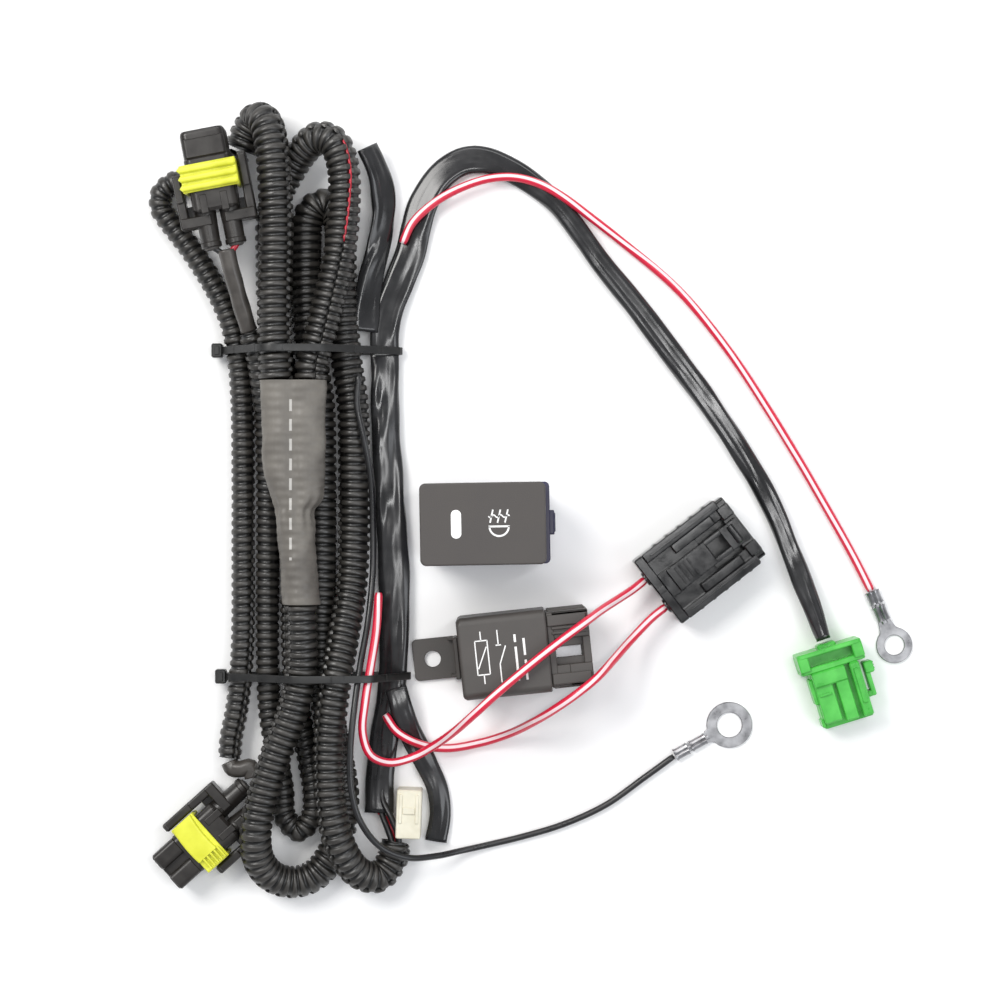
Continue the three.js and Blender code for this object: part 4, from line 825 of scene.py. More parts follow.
# ---------------------------------------------------------------- wires that show at the looms
# Thin PVC wires: a red one that peeps out of the second arch's seam, a red and a black one that
# leave the trunk's open mouth for the sleeves.
THIN_WIRE_D = 0.0019
SEAM_WIRE_D = 0.0009
SEAM_WIRE_FROM, SEAM_WIRE_TO = 0.045, 0.078  # metres along the second arch
red_plain = mottled(
    "red_pvc_insulation_extruded", "#b3142c", 0.35, "#a11127", "#c01b34", 4, (0.28, 0.4), 0.02,
    ior=1.53,
)


def thin_wire(name, path, diameter, material):
    """A round wire with chamfered ends that belongs to the bundle."""
    skin(name, round_rings(path, domed_ends(path, diameter / 2), 14), material, "harness")


path = smooth_route(LEG_2_UPPER, 0.001)
run = run_along(path)
side, up = level_frames(path)[1:]
turn = 1.05 + 0.35 * np.sin(run / 0.025 + 0.4)
shown = (run > SEAM_WIRE_FROM) & (run < SEAM_WIRE_TO)
bow = np.clip((run - SEAM_WIRE_FROM) / (SEAM_WIRE_TO - SEAM_WIRE_FROM), 0, 1)
lift = RISER_2_D / 2 - 0.00105 + 0.00045 * np.sin(bow * np.pi)
path = path + lift[:, None] * (np.cos(turn)[:, None] * side + np.sin(turn)[:, None] * up)
thin_wire("red_wire_in_arch_seam", path[shown], SEAM_WIRE_D, red_plain)

MOUTH_WIRES = [
    ("mouth_wire_1", black_pvc, BLACK_WIRE_D, [
        (7, -115, 5.6), (6.6, -111, 5.6), (5.2, -107, 5), (3, -101, 3.4), (3, -93, 2.6)]),
    ("mouth_wire_2", black_pvc, BLACK_WIRE_D, [
        (9.2, -115, 6.8), (9, -110, 6.8), (6.8, -104, 6.2), (3.8, -98, 4), (3.4, -91, 2.8)]),
    ("mouth_wire_3", red_plain, THIN_WIRE_D, [
        (8.4, -115, 4), (8.2, -110.5, 4), (5.4, -105.5, 3.8), (1.8, -100, 3.4), (2, -92, 2.4)]),
]
for name, material, diameter, points in MOUTH_WIRES:
    thin_wire(name, smooth_route(np.array(points) / 1000, 0.001), diameter, material)

# ---------------------------------------------------------------- heat-shrink junction
# Grey-brown polyolefin tube shrunk over the place where the trunk takes in both arches. It
# steps in to the trunk alone, and the conduit's rings show through it as faint ridges.
JUNCTION_TOP_Y = 0.04025
JUNCTION_END_Y = -0.03275
JUNCTION_Z = 0.019
TRUNK_HALF = 0.0062
MOUTH_DEPTH = 0.0035
STATIONS = 260

y = np.concatenate([
    [JUNCTION_TOP_Y - MOUTH_DEPTH, JUNCTION_TOP_Y],
    np.linspace(JUNCTION_TOP_Y, JUNCTION_END_Y, STATIONS),
    [JUNCTION_END_Y, JUNCTION_END_Y + MOUTH_DEPTH],
])
wall = np.concatenate([[0.0009, 0.0008], np.zeros(STATIONS), [0.0008, 0.0009]])
left_edge = np.interp(y, [-0.0328, -0.0010, 0.0040, 0.0099, 0.0400],
                      [-0.0282, -0.0306, -0.0327, -0.0345, -0.03555])
right_edge = np.interp(y, [-0.0328, -0.0022, 0.0014, 0.0050, 0.0400],
                       [-0.0160, -0.0182, -0.0150, -0.0145, -0.0140])
kernel = np.hanning(13) / np.hanning(13).sum()
left_edge[2:-2] = np.convolve(np.pad(left_edge[2:-2], 6, mode="edge"), kernel, "valid")
right_edge[2:-2] = np.convolve(np.pad(right_edge[2:-2], 6, mode="edge"), kernel, "valid")
half_w = (right_edge - left_edge) / 2
joined = np.clip((half_w - TRUNK_HALF) / 0.004, 0, 1)
a = around(72)[None, :]
ridge = 0.00008 * np.cos(2 * np.pi * y / LOOM_PITCH)[:, None] * (1 - 0.35 * joined[:, None])
flow = sum(amp * np.cos(2 * np.pi * y[:, None] / pitch + n * a + n) for amp, pitch, n in
           ((0.00012, 0.023, 2), (0.0001, 0.014, 3), (0.00007, 0.009, 5)))
puckers = 0.00028 * np.exp(-((y + 0.0015) / 0.006) ** 2)[:, None] * np.cos(11 * a)
waist = 0.0010 * joined[:, None] * np.exp(-(np.cos(a) / 0.22) ** 2)
thick = (TRUNK_HALF + 0.0004 * joined)[:, None]
grow = ridge + flow + puckers - wall[:, None]
x = ((left_edge + right_edge) / 2)[:, None] + (half_w[:, None] + grow) * np.cos(a)
square = np.sign(np.sin(a)) * np.abs(np.sin(a)) ** (1 - 0.35 * joined[:, None])
z = JUNCTION_Z + (thick + grow) * square - waist * np.sign(np.sin(a))
rings = np.stack([x, np.broadcast_to(y[:, None], x.shape), z], -1)

# Cross-linked polyolefin: satin, a little cloudy, with draw lines along it and a plain row of
# printed dashes in place of the maker's print.
heat_shrink = new_material("grey_brown_polyolefin_heat_shrink", "#66625c", 0.5)
place = object_place(heat_shrink)
tint = two_tone(heat_shrink, noise(heat_shrink, place, 95, 5), "#57534e", "#736f68")
spot = add_node(heat_shrink, "ShaderNodeSeparateXYZ", Vector=place).outputs
beat = compute(heat_shrink, "PINGPONG", spot["Y"], 0.0032)
printed = band(heat_shrink, spot["X"], -0.0252, 0.00035, 0.00015)
for other in (band(heat_shrink, beat, 0.0, 0.0018, 0.0002),
              band(heat_shrink, spot["Y"], 0.008, 0.026, 0.0004)):
    printed = compute(heat_shrink, "MULTIPLY", printed, other)
faint = compute(heat_shrink, "MULTIPLY", printed, 0.55)
feed(heat_shrink, "Base Color", mix(heat_shrink, faint, tint, colour("#d9d7d2")))
drawn = add_node(heat_shrink, "ShaderNodeMapping", Vector=place, Scale=(1, 0.08, 1))
lines = noise(heat_shrink, drawn.outputs["Vector"], 1400, 3)
feed(heat_shrink, "Roughness", remap(heat_shrink, lines, 0.3, 0.7, 0.42, 0.58))
emboss(heat_shrink, lines, 0.04, 0.6)
skin("heat_shrink_junction", rings[:, ::-1], heat_shrink, "harness", ("junction_sleeve",))

# ---------------------------------------------------------------- cable ties
# Two nylon ties pulled tight round the whole bundle, with the ratchet head on the left and the
# tail cut short. The strap follows the outline of everything that it holds.
TIE_W = 0.0024
TIE_T = 0.0011
TIE_GAP = 0.0003
BELT_POINTS = 240

tie_nylon = mottled(
    "black_nylon_cable_tie_moulded", "#171717", 0.42, "#131313", "#1e1e1d", 4, (0.34, 0.5), 0.02,
)


def crossings(y):
    """Circles (x, z, radius) where the looms and wires inside a tie cross the plane at y."""
    held = [
        (LEG_1_UPPER, RISER_1_D), (LEG_1_LOWER, LEG_D), (LEG_2_UPPER, RISER_2_D),
        (LEG_2_LOWER, LEG_D), (TRUNK, TRUNK_D), (LARGE_RING_LEAD, BLACK_WIRE_D),
        (SWITCH_WIRE_1, STRIPED_WIRE_D), (SWITCH_WIRE_2, STRIPED_WIRE_D),
    ]
    found = []
    for route, diameter in held:
        p = smooth_route(route, 0.001)
        hit = np.flatnonzero((p[:-1, 1] - y) * (p[1:, 1] - y) <= 0)
        found += [(*((p[i] + p[i + 1]) / 2)[[0, 2]], diameter / 2) for i in hit if p[i, 0] < 0.02]
    near = SIDE_SLEEVE[np.argmin(np.abs(SIDE_SLEEVE[:, 1] - y))]
    half = (SLEEVE_W - SLEEVE_T) / 2
    return found + [(near[0] + dx, near[2], SLEEVE_T / 2) for dx in (-half, half)]


def tight_belt(circles, out):
    """The convex outline of circles grown by out: their points, sorted, in two chains that
    only ever turn left, then spread evenly along their length."""
    a = around(64)
    cloud = np.vstack([
        np.column_stack([x + (r + out) * np.cos(a), z + (r + out) * np.sin(a)])
        for x, z, r in circles
    ])
    cloud = cloud[np.lexsort((cloud[:, 1], cloud[:, 0]))]
    chains = []
    for order in (cloud, cloud[::-1]):
        chain = []
        for p in order:
            while len(chain) > 1 and np.cross(chain[-1] - chain[-2], p - chain[-2]) <= 0:
                chain.pop()
            chain.append(p)
        chains += chain[:-1]
    outline = np.array(chains + chains[:1])
    run = run_along(outline)
    return resample(np.linspace(0, run[-1], BELT_POINTS + 1)[:-1], run, outline)


def cable_tie(name, node, y):
    """A chamfered strap carried round the belt, with its head, pawl and cut tail on the left."""
    circles = crossings(y)
    inner, outer = tight_belt(circles, TIE_GAP), tight_belt(circles, TIE_GAP + TIE_T)
    nearest = np.argmin(np.linalg.norm(inner[:, None] - outer[None], axis=2), axis=1)
    pairs = np.stack([inner, outer[nearest]])
    across = np.array([(0.08, -1), (0.92, -1), (1, -0.8), (1, 0.8), (0.92, 1), (0.08, 1),
                       (0, 0.8), (0, -0.8)])
    teeth = 1 - 0.1 * (np.arange(len(inner)) % 2)
    mix = across[None, :, 0] * np.where(across[None, :, 0] > 0.5, teeth[:, None], 1)
    xz = pairs[0][:, None] * (1 - mix[..., None]) + pairs[1][:, None] * mix[..., None]
    ys = y + across[:, 1] * TIE_W / 2
    strap = np.stack([xz[..., 0], np.broadcast_to(ys, xz.shape[:2]), xz[..., 1]], -1) * 1000
    x, z, r = min(circles, key=lambda c: c[0] - c[2])
    seat = (x - r - TIE_GAP - TIE_T / 2) * 1000
    low, mid = z * 1000, y * 1000
    solids = [
        block((seat - 3.6, mid - 2.3, low - 2.5), (seat, mid + 2.3, low + 2.5), r=0.7, edge=0.4),
        block((seat - 2.6, mid - 1.5, low + 2.2), (seat - 0.9, mid + 1.5, low + 2.9), axis="z",
              r=0.3, edge=0.2),
        block((seat - 2.4, mid - 1.2, low - 4.2), (seat - 1.2, mid + 1.2, low - 2.2), axis="z",
              r=0.3, edge=0.2),
    ]
    moulding(name, solids, (0, 0, 0, 0), tie_nylon, "harness", (node,),
             [strap[::-1]])


UPPER_TIE_Y = 0.05065
LOWER_TIE_Y = -0.05695
cable_tie("upper_cable_tie", "tie_upper", UPPER_TIE_Y)
cable_tie("lower_cable_tie", "tie_lower", LOWER_TIE_Y)

# ---------------------------------------------------------------- bulb sockets
# Two-way bulb sockets moulded in dark grey nylon: a keyed tower that takes the bulb's base, two
# wire tubes, a frame with an arm down each side, and a bright yellow saddle lock on the tower.
SOCKET_1_PLACE = (-47.15, 84.05, 10.8, 13.1)
SOCKET_2_PLACE = (-38.95, -95.95, 132, 0)

socket_nylon = mottled(
    "dark_grey_nylon_injection_moulded", "#25221f", 0.36, "#201d1b", "#2c2926", 6, (0.26, 0.42),
    0.03,
)
lock_nylon = mottled(
    "yellow_nylon_injection_moulded", "#dbdd3a", 0.36, "#ced032", "#e6e84a", 7, (0.28, 0.42), 0.02,
    Subsurface_Weight=0.1, Subsurface_Radius=(0.001, 0.0009, 0.0002),
)
seal_rubber = mottled(
    "grey_silicone_wire_seal_moulded", "#4b4946", 0.6, "#403e3c", "#55524f", 3, (0.5, 0.7), 0.02,
)


def tube_along_y(x, z, stations):
    """A round tube's rings along Y, from (distance, radius) stations."""
    return loft("y", [(y, x, z, r, r, r - 0.01) for y, r in stations], 8)


def bulb_socket(number, place, keyway):
    """Housing, lock and seals of one socket, its mouth along +Y and its wires in at y = 0."""
    half = 5.3 if keyway else 6.3
    tower = loft("y", [
        (11.8, 0, 6.5, 6.9, 5.9, 2.0), (12.3, 0, 6.5, 7.5, 6.5, 2.5), (28.5, 0, 6.5, 7.5, 6.5, 2.5),
        (28.9, 0, half, 7.3, half, 2.3), (36.6, 0, half, 7.3, half, 2.3),
        (37.5, 0, half, 7.1, half - 0.2, 2.2), (38, 0, half, 6.7, half - 0.6, 1.9),
        (38, 0, half, 6.0, half - 1.3, 1.6), (37.4, 0, half, 5.8, half - 1.5, 1.5),
        (23, 0, half, 5.8, half - 1.5, 1.5),
    ], 6)
    parts = [
        tower,
        *[tube_along_y(side * 4.0, 6.5, [
            (0, 3.1), (0.3, 3.4), (1.6, 3.4), (1.9, 3.15), (8, 3.3), (13, 3.6)])
          for side in (-1, 1)],
        *mirrored(
            (-12.5, 7, 3, -2, 10.6, 10, 0.8, 0.4), (-4.6, 10.6, 12, -2.2, 17, 13.2, 0.3, 0.35),
            (-10.4, 10, 3.6, -7, 14.6, 4.8, 0.3, 0.2),
        ),
        *blocks(
            (-12.5, 8.5, 3.5, -9.5, 25, 9.5, 0.7, 0.5), (9.5, 8.5, 3.5, 12.5, 29, 9.5, 0.7, 0.5),
            (-12.2, 15.5, 9.2, -10, 24, 10.3, 0.3, 0.35),
            (10, 17.5, 9.2, 12.2, 28, 10.3, 0.3, 0.35), (-7.6, 12, 4.4, 7.6, 16.2, 8.6, 0.8, 0.4),
            (-6.4, 11.4, 9.4, 6.4, 17.2, 12.7, 0.9, 0.6),
        ),
    ]
    if keyway:
        parts += mirrored((-7.3, 28.2, 8.5, -1.2, 37.8, 13, 1.6, 0.6))
    else:
        parts += blocks((-6.6, 28.6, 11.6, 6.6, 35.6, 13, 0.9, 0.7))
    moulding(f"socket_{number}_moulding", parts, place, socket_nylon, "harness",
             (f"socket_{number}_housing",))
    seals = [tube_along_y(side * 4.0, 6.5, [(-0.7, 2.0), (-0.5, 2.3), (0.2, 2.5), (1, 2.5)])
             for side in (-1, 1)]
    moulding(f"socket_{number}_wire_seals", seals, place, seal_rubber, "harness")

    saddle = mirrored((-9.2, 18, 2.6, -7.8, 27, 14.2, 0.5, 0.4))
    saddle += blocks((-9.2, 18, 13.3, 9.2, 27, 14.1, 0.3, 0.2))
    if keyway:
        saddle += [
            block((-9.0, 18.6 + 1.5 * i, 14.4), (-4.4, 19.4 + 1.5 * i, 15.4), axis="x", r=0.3,
                  edge=0.3) for i in range(5)
        ]
        x = np.linspace(-4.6, 9, 12)
        saddle.append(loft("x", [
            (at, 23.4 - 0.9 * (at / 9) ** 2, 14.4, 3.9, 1.0, 0.7) for at in x]))
    else:
        saddle += [
            loft("x", [(-10, 19.5 + 3 * i, 14.2, 0.1, 0.6, 0.05),
                       (-9.2, 19.5 + 3 * i, 14.3, 1.0, 1.0, 0.7),
                       (8.6, 19.5 + 3 * i, 14.4, 1.15, 1.1, 0.9),
                       (9.2, 19.5 + 3 * i, 14.3, 0.8, 0.8, 0.6)]) for i in range(3)
        ]
    moulding(f"socket_{number}_saddle_lock", saddle, place, lock_nylon, f"socket_{number}_lock",
             (f"socket_{number}_lock",))
    dress([f"socket_{number}_terminal_{side}" for side in ("left", "right")], tin)


bulb_socket(1, SOCKET_1_PLACE, False)
bulb_socket(2, SOCKET_2_PLACE, True)

# Each socket's pair of wires runs in a shrunk grey sleeve from the tubes to its loom.
GREY_SLEEVE_1 = traced(
    (-46, 83.2, 19.6), (-44.4, 75.4, 18), (-42, 66, 15), (-39.4, 57.2, 12.3),
)
GREY_SLEEVE_2 = traced(
    (-46.4, -85, 5.3), (-45.4, -87, 5.7), (-42.6, -87.2, 6.1), (-39.6, -86.6, 6.3),
    (-38.6, -90, 6.4),
)
GREY_SLEEVE_D = 0.0056

grey_shrink = mottled(
    "grey_polyolefin_heat_shrink_small", "#45423e", 0.38, "#3a3734", "#4f4b47", 5, (0.28, 0.46),
    0.04,
)

for number, route in ((1, GREY_SLEEVE_1), (2, GREY_SLEEVE_2)):
    path = smooth_route(route, 0.0006)
    run = run_along(path)
    a = around(28)[None, :]
    pair = 1 - 0.10 * np.exp(-(np.cos(a) / 0.3) ** 2)
    bumps = 0.03 * np.cos(run[:, None] / 0.0016 + 2 * a) + 0.02 * np.cos(run[:, None] / 0.004 - a)
    rings = path[:, None] + (round_rings(path, GREY_SLEEVE_D / 2, 28) - path[:, None]) * (
        (pair + bumps)[..., None])
    skin(f"socket_{number}_wire_sleeve", rings, grey_shrink, "harness",
         (f"socket_{number}_sleeve",))

for name, material, points in (
    ("socket_1_red_wire", red_plain, [
        (-43.4, 86.8, 19.6), (-43.1, 84.6, 20.1), (-44.6, 82.2, 19.9), (-45.2, 80, 19)]),
    ("socket_1_black_wire", black_pvc, [
        (-51.2, 85.3, 19.6), (-50.6, 83.5, 20), (-47.8, 81.5, 19.6), (-46, 79.5, 18.8)]),
):
    thin_wire(name, smooth_route(np.array(points) / 1000, 0.0005), THIN_WIRE_D, material)

# ---------------------------------------------------------------- ivory relay plug
# Natural nylon plug for the relay's blades, tucked between the sleeves at the lower end, open
# at the bottom with a rib down each side.
RELAY_PLUG_PLACE = (12.25, -109.95, -2, 0)
ivory_nylon = mottled(
    "natural_ivory_nylon_injection_moulded", "#dedac6", 0.42, "#d4cfba", "#e6e2d0", 6, (0.34, 0.5),
    0.02, Subsurface_Weight=0.15, Subsurface_Radius=(0.0012, 0.001, 0.0008),
)
plug = [
    loft("y", [
        (16, 0, 6, 3.7, 5.6, 0.4), (15.6, 0, 6, 4.1, 6, 0.7), (0.3, 0, 6, 4.1, 6, 0.7),
        (0, 0, 6, 3.8, 5.7, 0.6), (0, 0, 6, 2.9, 4.8, 0.4), (0.3, 0, 6, 2.7, 4.6, 0.4),
        (9, 0, 6, 2.7, 4.6, 0.4),
    ][::-1]),
    *mirrored((-3.2, 5, 11.7, -2.2, 14.6, 12.4, 0.2, 0.25)),
    *blocks((-2, 8, 11.7, 2, 10.4, 12.5, 0.3, 0.3)),
]
moulding("ivory_relay_plug", plug, RELAY_PLUG_PLACE, ivory_nylon, "harness", ("relay_plug",))

# ---------------------------------------------------------------- relay
# A four-blade automotive relay lying on its side. Its cover is moulded in charcoal plastic with
# a bracket at the closed end; the base's ribbed shroud guards the tinned blades.
RELAY_PLACE = (43.85, -48.95, 6, 0)
relay_plastic = mottled(
    "charcoal_polyamide_relay_moulding", "#45423f", 0.44, "#403d3a", "#4b4744", 11, (0.4, 0.54),
    0.0,
)
emboss(relay_plastic, noise(relay_plastic, object_place(relay_plastic), 2600, 2), 0.03, 0.8)

cover = [
    loft("x", [
        (-14.5, 0, 13, 12.2, 11.7, 2.2), (-14.1, 0, 13, 12.9, 12.4, 2.4),
        (-13.2, 0, 13, 13.4, 12.9, 2.6), (14.1, 0, 13, 13.5, 13, 2.6),
        (14.5, 0, 13, 13.25, 12.75, 2.4), (14.5, 0, 13, 12.4, 11.9, 1.8),
        (14.2, 0, 13, 12.2, 11.7, 1.6), (-13.2, 0, 13, 12.2, 11.7, 1.6),
    ], 6),
    *blocks((-13.4, -13.4, 3, 14, -12.9, 5, 0.2, 0.2), axis="x"),
    *blocks((11.2, -13.75, 6, 13.4, -13.2, 20, 0.2, 0.2), axis="z"),
]
moulding("relay_cover_moulding", cover, RELAY_PLACE, relay_plastic, "relay", ("relay_cover",))

# Base: a plug in the cover's open end, then walls with outside ribs round the blades, cut by a
# window over the middle blade and a notch at one corner.
base = [
    *blocks(
        (10.8, -11.9, 1.6, 14.8, 11.9, 24.4, 0.8, 0.2),
        (14.7, -12.3, 1.5, 16.8, 12.3, 24.5, 1.0, 0.2),
        (16.6, 10.8, 1.5, 28.3, 12.3, 24.5, 0.5, 0.3),
        (16.6, -12.3, 1.5, 28.3, -10.8, 18.5, 0.5, 0.3),
        (20.8, -12.3, 18.3, 28.3, -10.8, 24.5, 0.5, 0.3),
        (16.6, -12.3, 1.5, 28.3, 12.3, 3, 0.5, 0.3), (16.6, 3.4, 23, 28.3, 12.3, 24.5, 0.5, 0.3),
        (20.8, -12.3, 23, 28.3, -5, 24.5, 0.5, 0.3), (16.6, -8.3, 23, 21, -5, 24.5, 0.4, 0.2),
        (25.8, -5.2, 23, 28.3, 3.6, 24.5, 0.4, 0.2),
        (16.6, -5.2, 21.4, 26.6, -2.6, 22.6, 0.3, 0.2),
        (16.6, 0.8, 21.4, 26.6, 3.6, 22.6, 0.3, 0.2), axis="x",
    ),
    *[block((14.8, y - 1.8, 24.2), (27.7, y + 1.8, 25.4), axis="x", r=0.4, edge=0.35)
      for y in (-9.5, 9.5)],
    *[block((16.0, y - 0.5, 24.2), (27.7, y + 0.5, 25.1), axis="x", r=0.3, edge=0.3)
      for y in (5.4, 7.0)],
    *[block((15.2, side * 12.5 - 0.5, z), (27.6, side * 12.5 + 0.5, z + 1.4), axis="x", r=0.3,
            edge=0.3) for side in (-1, 1) for z in (4, 8, 12, 16)],
]
moulding("relay_base_and_shroud", base, RELAY_PLACE, relay_plastic, "relay", ("relay_base",))


def holed_plate(x0, x1, half_y, z0, z1, hole, hole_r, corner, edge=0.15, sides=96):
    """A flat plate with a round hole: the outline is a rounded rectangle and the inside a circle
    round `hole`, both walked by the same angle, as a closed ring of chamfered sections."""
    a = around(sides)
    direction = np.column_stack([np.cos(a), np.sin(a)])
    box_lo = np.array([x0, -half_y]) + corner - hole
    box_hi = np.array([x1, half_y]) - corner - hole
    grid = np.linspace(0, 40, 4001)
    spot = direction[:, None] * grid[None, :, None]
    gap = np.maximum(np.maximum(box_lo - spot, spot - box_hi), 0)
    outside = np.linalg.norm(gap, axis=2) > corner
    reach = grid[np.argmax(outside, axis=1)]
    profile = [(0, edge, z0), (1, -edge, z0), (1, 0, z0 + edge), (1, 0, z1 - edge),
               (1, -edge, z1), (0, edge, z1), (0, 0, z1 - edge), (0, 0, z0 + edge)]
    rings = []
    for is_outer, shift, z in profile:
        r = (reach if is_outer else np.full(sides, hole_r)) + shift
        rings.append(np.column_stack([hole[0] + r * direction[:, 0], hole[1] + r * direction[:, 1],
                                      np.full(sides, z)]))
    return np.stack(rings, axis=1)


bracket = [
    *blocks(
        (-16.3, -6.9, 0, -14.8, 6.9, 14, 0.3, 0.3), (-18.2, 5.5, 0.2, -15.2, 6.7, 4, 0.25, 0.3),
        (-18.2, -6.7, 0.2, -15.2, -5.5, 4, 0.25, 0.3), axis="z",
    ),
]
tab = holed_plate(-30.2, -14.8, 6.9, 0, 1.5, np.array([-23.8, 0.0]), 2.7, 1.6)
moulding("relay_bracket_with_hole", bracket, RELAY_PLACE, relay_plastic, "relay",
         ("relay_bracket",), [tab])

# Blades stamped from tinned brass, and the works inside the cover.
copper_wire = new_material("enamelled_copper_winding", "#a4552a", 0.3, metallic=1.0)
turns = add_node(copper_wire, "ShaderNodeTexWave", Vector=object_place(copper_wire), Scale=900)
emboss(copper_wire, turns.outputs["Fac"], 0.15)
plated_iron = mottled(
    "zinc_plated_soft_iron_stamped", "#9a9a96", 0.4, "#868682", "#adada8", 4, (0.3, 0.5), 0.02,
    metallic=1.0,
)
dress(["relay_winding", "relay_contact_spring"], copper_wire)
dress(["relay_core", "relay_yoke", "relay_armature"], plated_iron)
dress(["relay_bobbin"], ivory_nylon)
dress([f"relay_blade_{end}" for end in ("coil_1", "coil_2", "common", "contact")], tin)


def printed_line(points, width, height=0.05):
    """A raised line of ink in millimetres: a flat rectangle carried along level points."""
    p = np.asarray(points, dtype=float)
    step = np.gradient(p, axis=0)
    step /= np.linalg.norm(step, axis=1)[:, None]
    side = np.column_stack([step[:, 1], -step[:, 0], np.zeros(len(p))]) * width / 2
    up = np.array([0, 0, height])
    return np.stack([p + side - up, p + side + up, p - side + up, p - side - up], axis=1)


def straight(x0, y0, x1, y1, z):
    """Five points on a straight line at one height."""
    t = np.linspace(0, 1, 5)[:, None]
    return np.array([[x0, y0, z]]) * (1 - t) + np.array([[x1, y1, z]]) * t


# White pad print: a plain circuit sketch of a coil and a contact, and bars for the lettering.
white_ink = mottled(
    "white_pad_printing_ink", "#eeeeec", 0.55, "#e4e4e2", "#f6f6f4", 1.5, (0.5, 0.62),
)
RELAY_TOP = 26.02
sketch = [
    ((-9, -5.5), (-9, 5.5)), ((-9, 5.5), (-5, 5.5)), ((-5, 5.5), (-5, -5.5)),
    ((-5, -5.5), (-9, -5.5)), ((-8.6, -3.5), (-5.4, 3.5)), ((-7, 5.5), (-7, 8.5)),
    ((-7, -5.5), (-7, -8.5)), ((-1.5, -8.5), (-1.5, -2.5)), ((-1.5, -2.5), (0.8, 3.2)),
    ((-1.5, 3.6), (-1.5, 8.5)), ((-2.4, 3.6), (-0.6, 3.6)),
    ((4, -8.5), (4, 2.5)), ((4, 4.0), (4, 6.5)), ((6.8, -8.5), (6.8, -2.0)),
    ((6.8, -0.5), (6.8, 5.0)),
]
lines = [
    printed_line(straight(*a, *b, RELAY_TOP), 0.75 if a[0] >= 4 else 0.4) for a, b in sketch
]
moulding("relay_print", lines, RELAY_PLACE, white_ink, "relay")

# ---------------------------------------------------------------- push switch
# Dashboard push switch lying face up: a soft-touch cap over a blue-grey body, a white slot for
# the indicator lamp and a pad-printed fog-lamp sign. A spring clip stands out at one end.
SWITCH_PLACE = (37.05, -6.35, 1, 0)
CAP_TOP = 31.8

soft_touch = mottled(
    "grey_soft_touch_switch_cap_moulded", "#484442", 0.62, "#45413f", "#4c4845", 14, (0.56, 0.68),
)
leather = add_node(soft_touch, "ShaderNodeTexVoronoi", Vector=object_place(soft_touch),
                   Scale=2600)
emboss(soft_touch, leather.outputs["Distance"], 0.03, 0.7)
blue_grey = mottled(
    "blue_grey_abs_switch_body_moulded", "#33314a", 0.42, "#2d2b43", "#3a3852", 8, (0.34, 0.5),
    0.02,
)
lens_white = mottled(
    "milky_polycarbonate_lens_moulded", "#f3f3f1", 0.25, "#eeeeec", "#f8f8f6", 3, (0.2, 0.3),
    ior=1.58,
)

cap = loft("z", [
    (25.6, 0, 0, 18.2, 11.2, 1.0), (24.8, 0, 0, 18.7, 11.7, 1.2), (24.7, 0, 0, 19.9, 12.9, 1.8),
    (25.0, 0, 0, 20.3, 13.3, 2.0), (31.0, 0, 0, 20.3, 13.3, 2.0), (31.5, 0, 0, 20.1, 13.1, 1.9),
    (31.8, 0, 0, 19.6, 12.6, 1.6),
], 8)
moulding("switch_cap_moulding", [cap], SWITCH_PLACE, soft_touch, "switch_button",
         ("switch_cap", "switch_symbol_pad"))
lens = loft("z", [
    (31.4, -8.6, 0, 1.65, 4.6, 1.6), (31.84, -8.6, 0, 1.65, 4.6, 1.6),
    (31.9, -8.6, 0, 1.5, 4.45, 1.45),
], 8)
moulding("switch_indicator_lens", [lens], SWITCH_PLACE, lens_white, "switch_button",
         ("switch_lens",))

# The sign: a half-round lamp, three slanted beams and a wavy line across them.
SIGN_X = 5.2
t = np.linspace(0, np.pi, 40)
dome = np.column_stack([SIGN_X + 3.1 * np.cos(t), -0.9 - 3.1 * np.sin(t), np.full(40, CAP_TOP)])
t = np.linspace(-3.4, 3.4, 50)
wave = np.column_stack([SIGN_X + t, 2.4 + 0.4 * np.sin(2.77 * t), np.full(50, CAP_TOP)])
sign = [
    printed_line(dome, 0.6),
    printed_line(straight(SIGN_X - 3.4, -0.9, SIGN_X + 3.4, -0.9, CAP_TOP), 0.6),
    printed_line(wave, 0.4),
    *[printed_line(straight(SIGN_X + x, 0.3, SIGN_X + x + 1.0, 4.5, CAP_TOP), 0.5)
      for x in (-2.9, -0.5, 1.9)],
]
moulding("switch_fog_lamp_sign", sign, SWITCH_PLACE, white_ink, "switch_button")

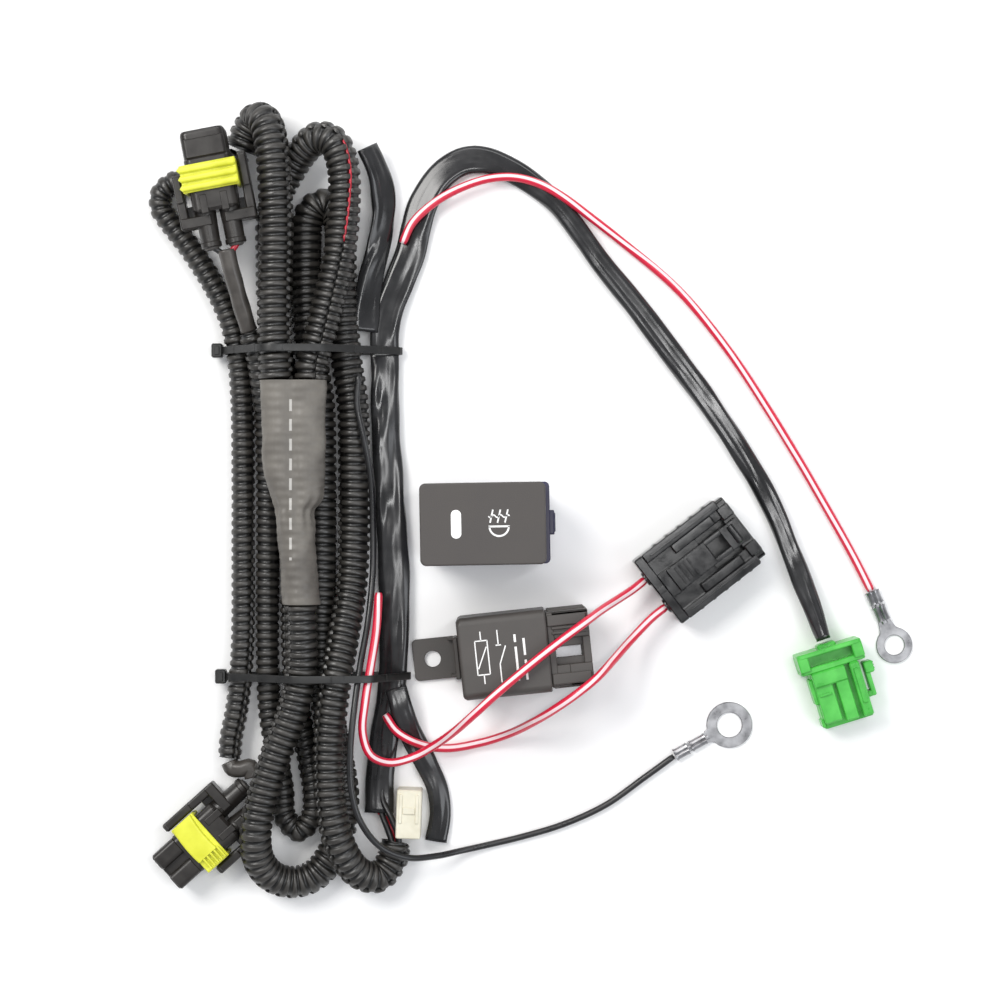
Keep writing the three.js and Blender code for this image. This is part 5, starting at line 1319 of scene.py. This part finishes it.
body_parts = [
    loft("z", [
        (5.9, 0, 0, 9, 6, 0.6), (0.2, 0, 0, 9, 6, 0.6), (0, 0, 0, 9.2, 6.2, 0.7),
        (0, 0, 0, 18.4, 11.7, 1.0), (0.4, 0, 0, 18.8, 12.1, 1.2), (18.9, 0, 0, 18.8, 12.1, 1.2),
        (19.0, 1.4, 0, 20.0, 13.0, 1.5), (19.3, 1.4, 0, 20.3, 13.3, 1.6),
        (21.7, 1.4, 0, 20.3, 13.3, 1.6), (22.0, 1.4, 0, 20.0, 13.0, 1.5),
        (22.0, 0, 0, 17.9, 11.2, 1.0), (22.8, 0, 0, 17.8, 11.1, 1.0), (23, 0, 0, 17.5, 10.8, 0.9),
        (23, 0, 0, 9.4, 7.7, 0.5), (22.7, 0, 0, 9.2, 7.5, 0.5), (8, 0, 0, 9.2, 7.5, 0.5),
    ], 6),
    *[block((x, side * 12.2 - 0.5, 3), (x + 1.2, side * 12.2 + 0.5, 17), axis="z", r=0.25,
            edge=0.25) for side in (-1, 1) for x in (-14, -8, 6.8, 12.8)],
]
moulding("switch_body_moulding", body_parts, SWITCH_PLACE, blue_grey, "switch",
         ("switch_body",))
clip_parts = [
    *blocks(
        (20.6, -4, 10, 23.2, 4, 11.4, 0.3, 0.3), (21.4, -4, 10.8, 23.2, 4, 18.6, 0.4, 0.4),
        axis="z",
    ),
    *blocks((22.8, -3.2, 14.2, 23.6, 3.2, 16.6, 0.3, 0.3)),
]
moulding("switch_spring_clip", clip_parts, SWITCH_PLACE, blue_grey, "switch", ("switch_clip",))

# Inside: an ivory stem under the cap and a steel coil spring.
spring_turns = 6.5
t = np.linspace(0, 1, 420)
wind = 2 * np.pi * spring_turns * t
coil = set_down(np.column_stack([
    2.55 * np.cos(wind), 2.55 * np.sin(wind), 8.75 + 8.5 * t
]), SWITCH_PLACE)
spring = skin("switch_return_spring", round_rings(coil, 0.00042, 10), plated_iron, "switch",
              ("switch_spring",))
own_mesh(spring)
dress(["switch_stem"], ivory_nylon)
dress([f"switch_terminal_{number}" for number in (1, 2, 3)], tin)
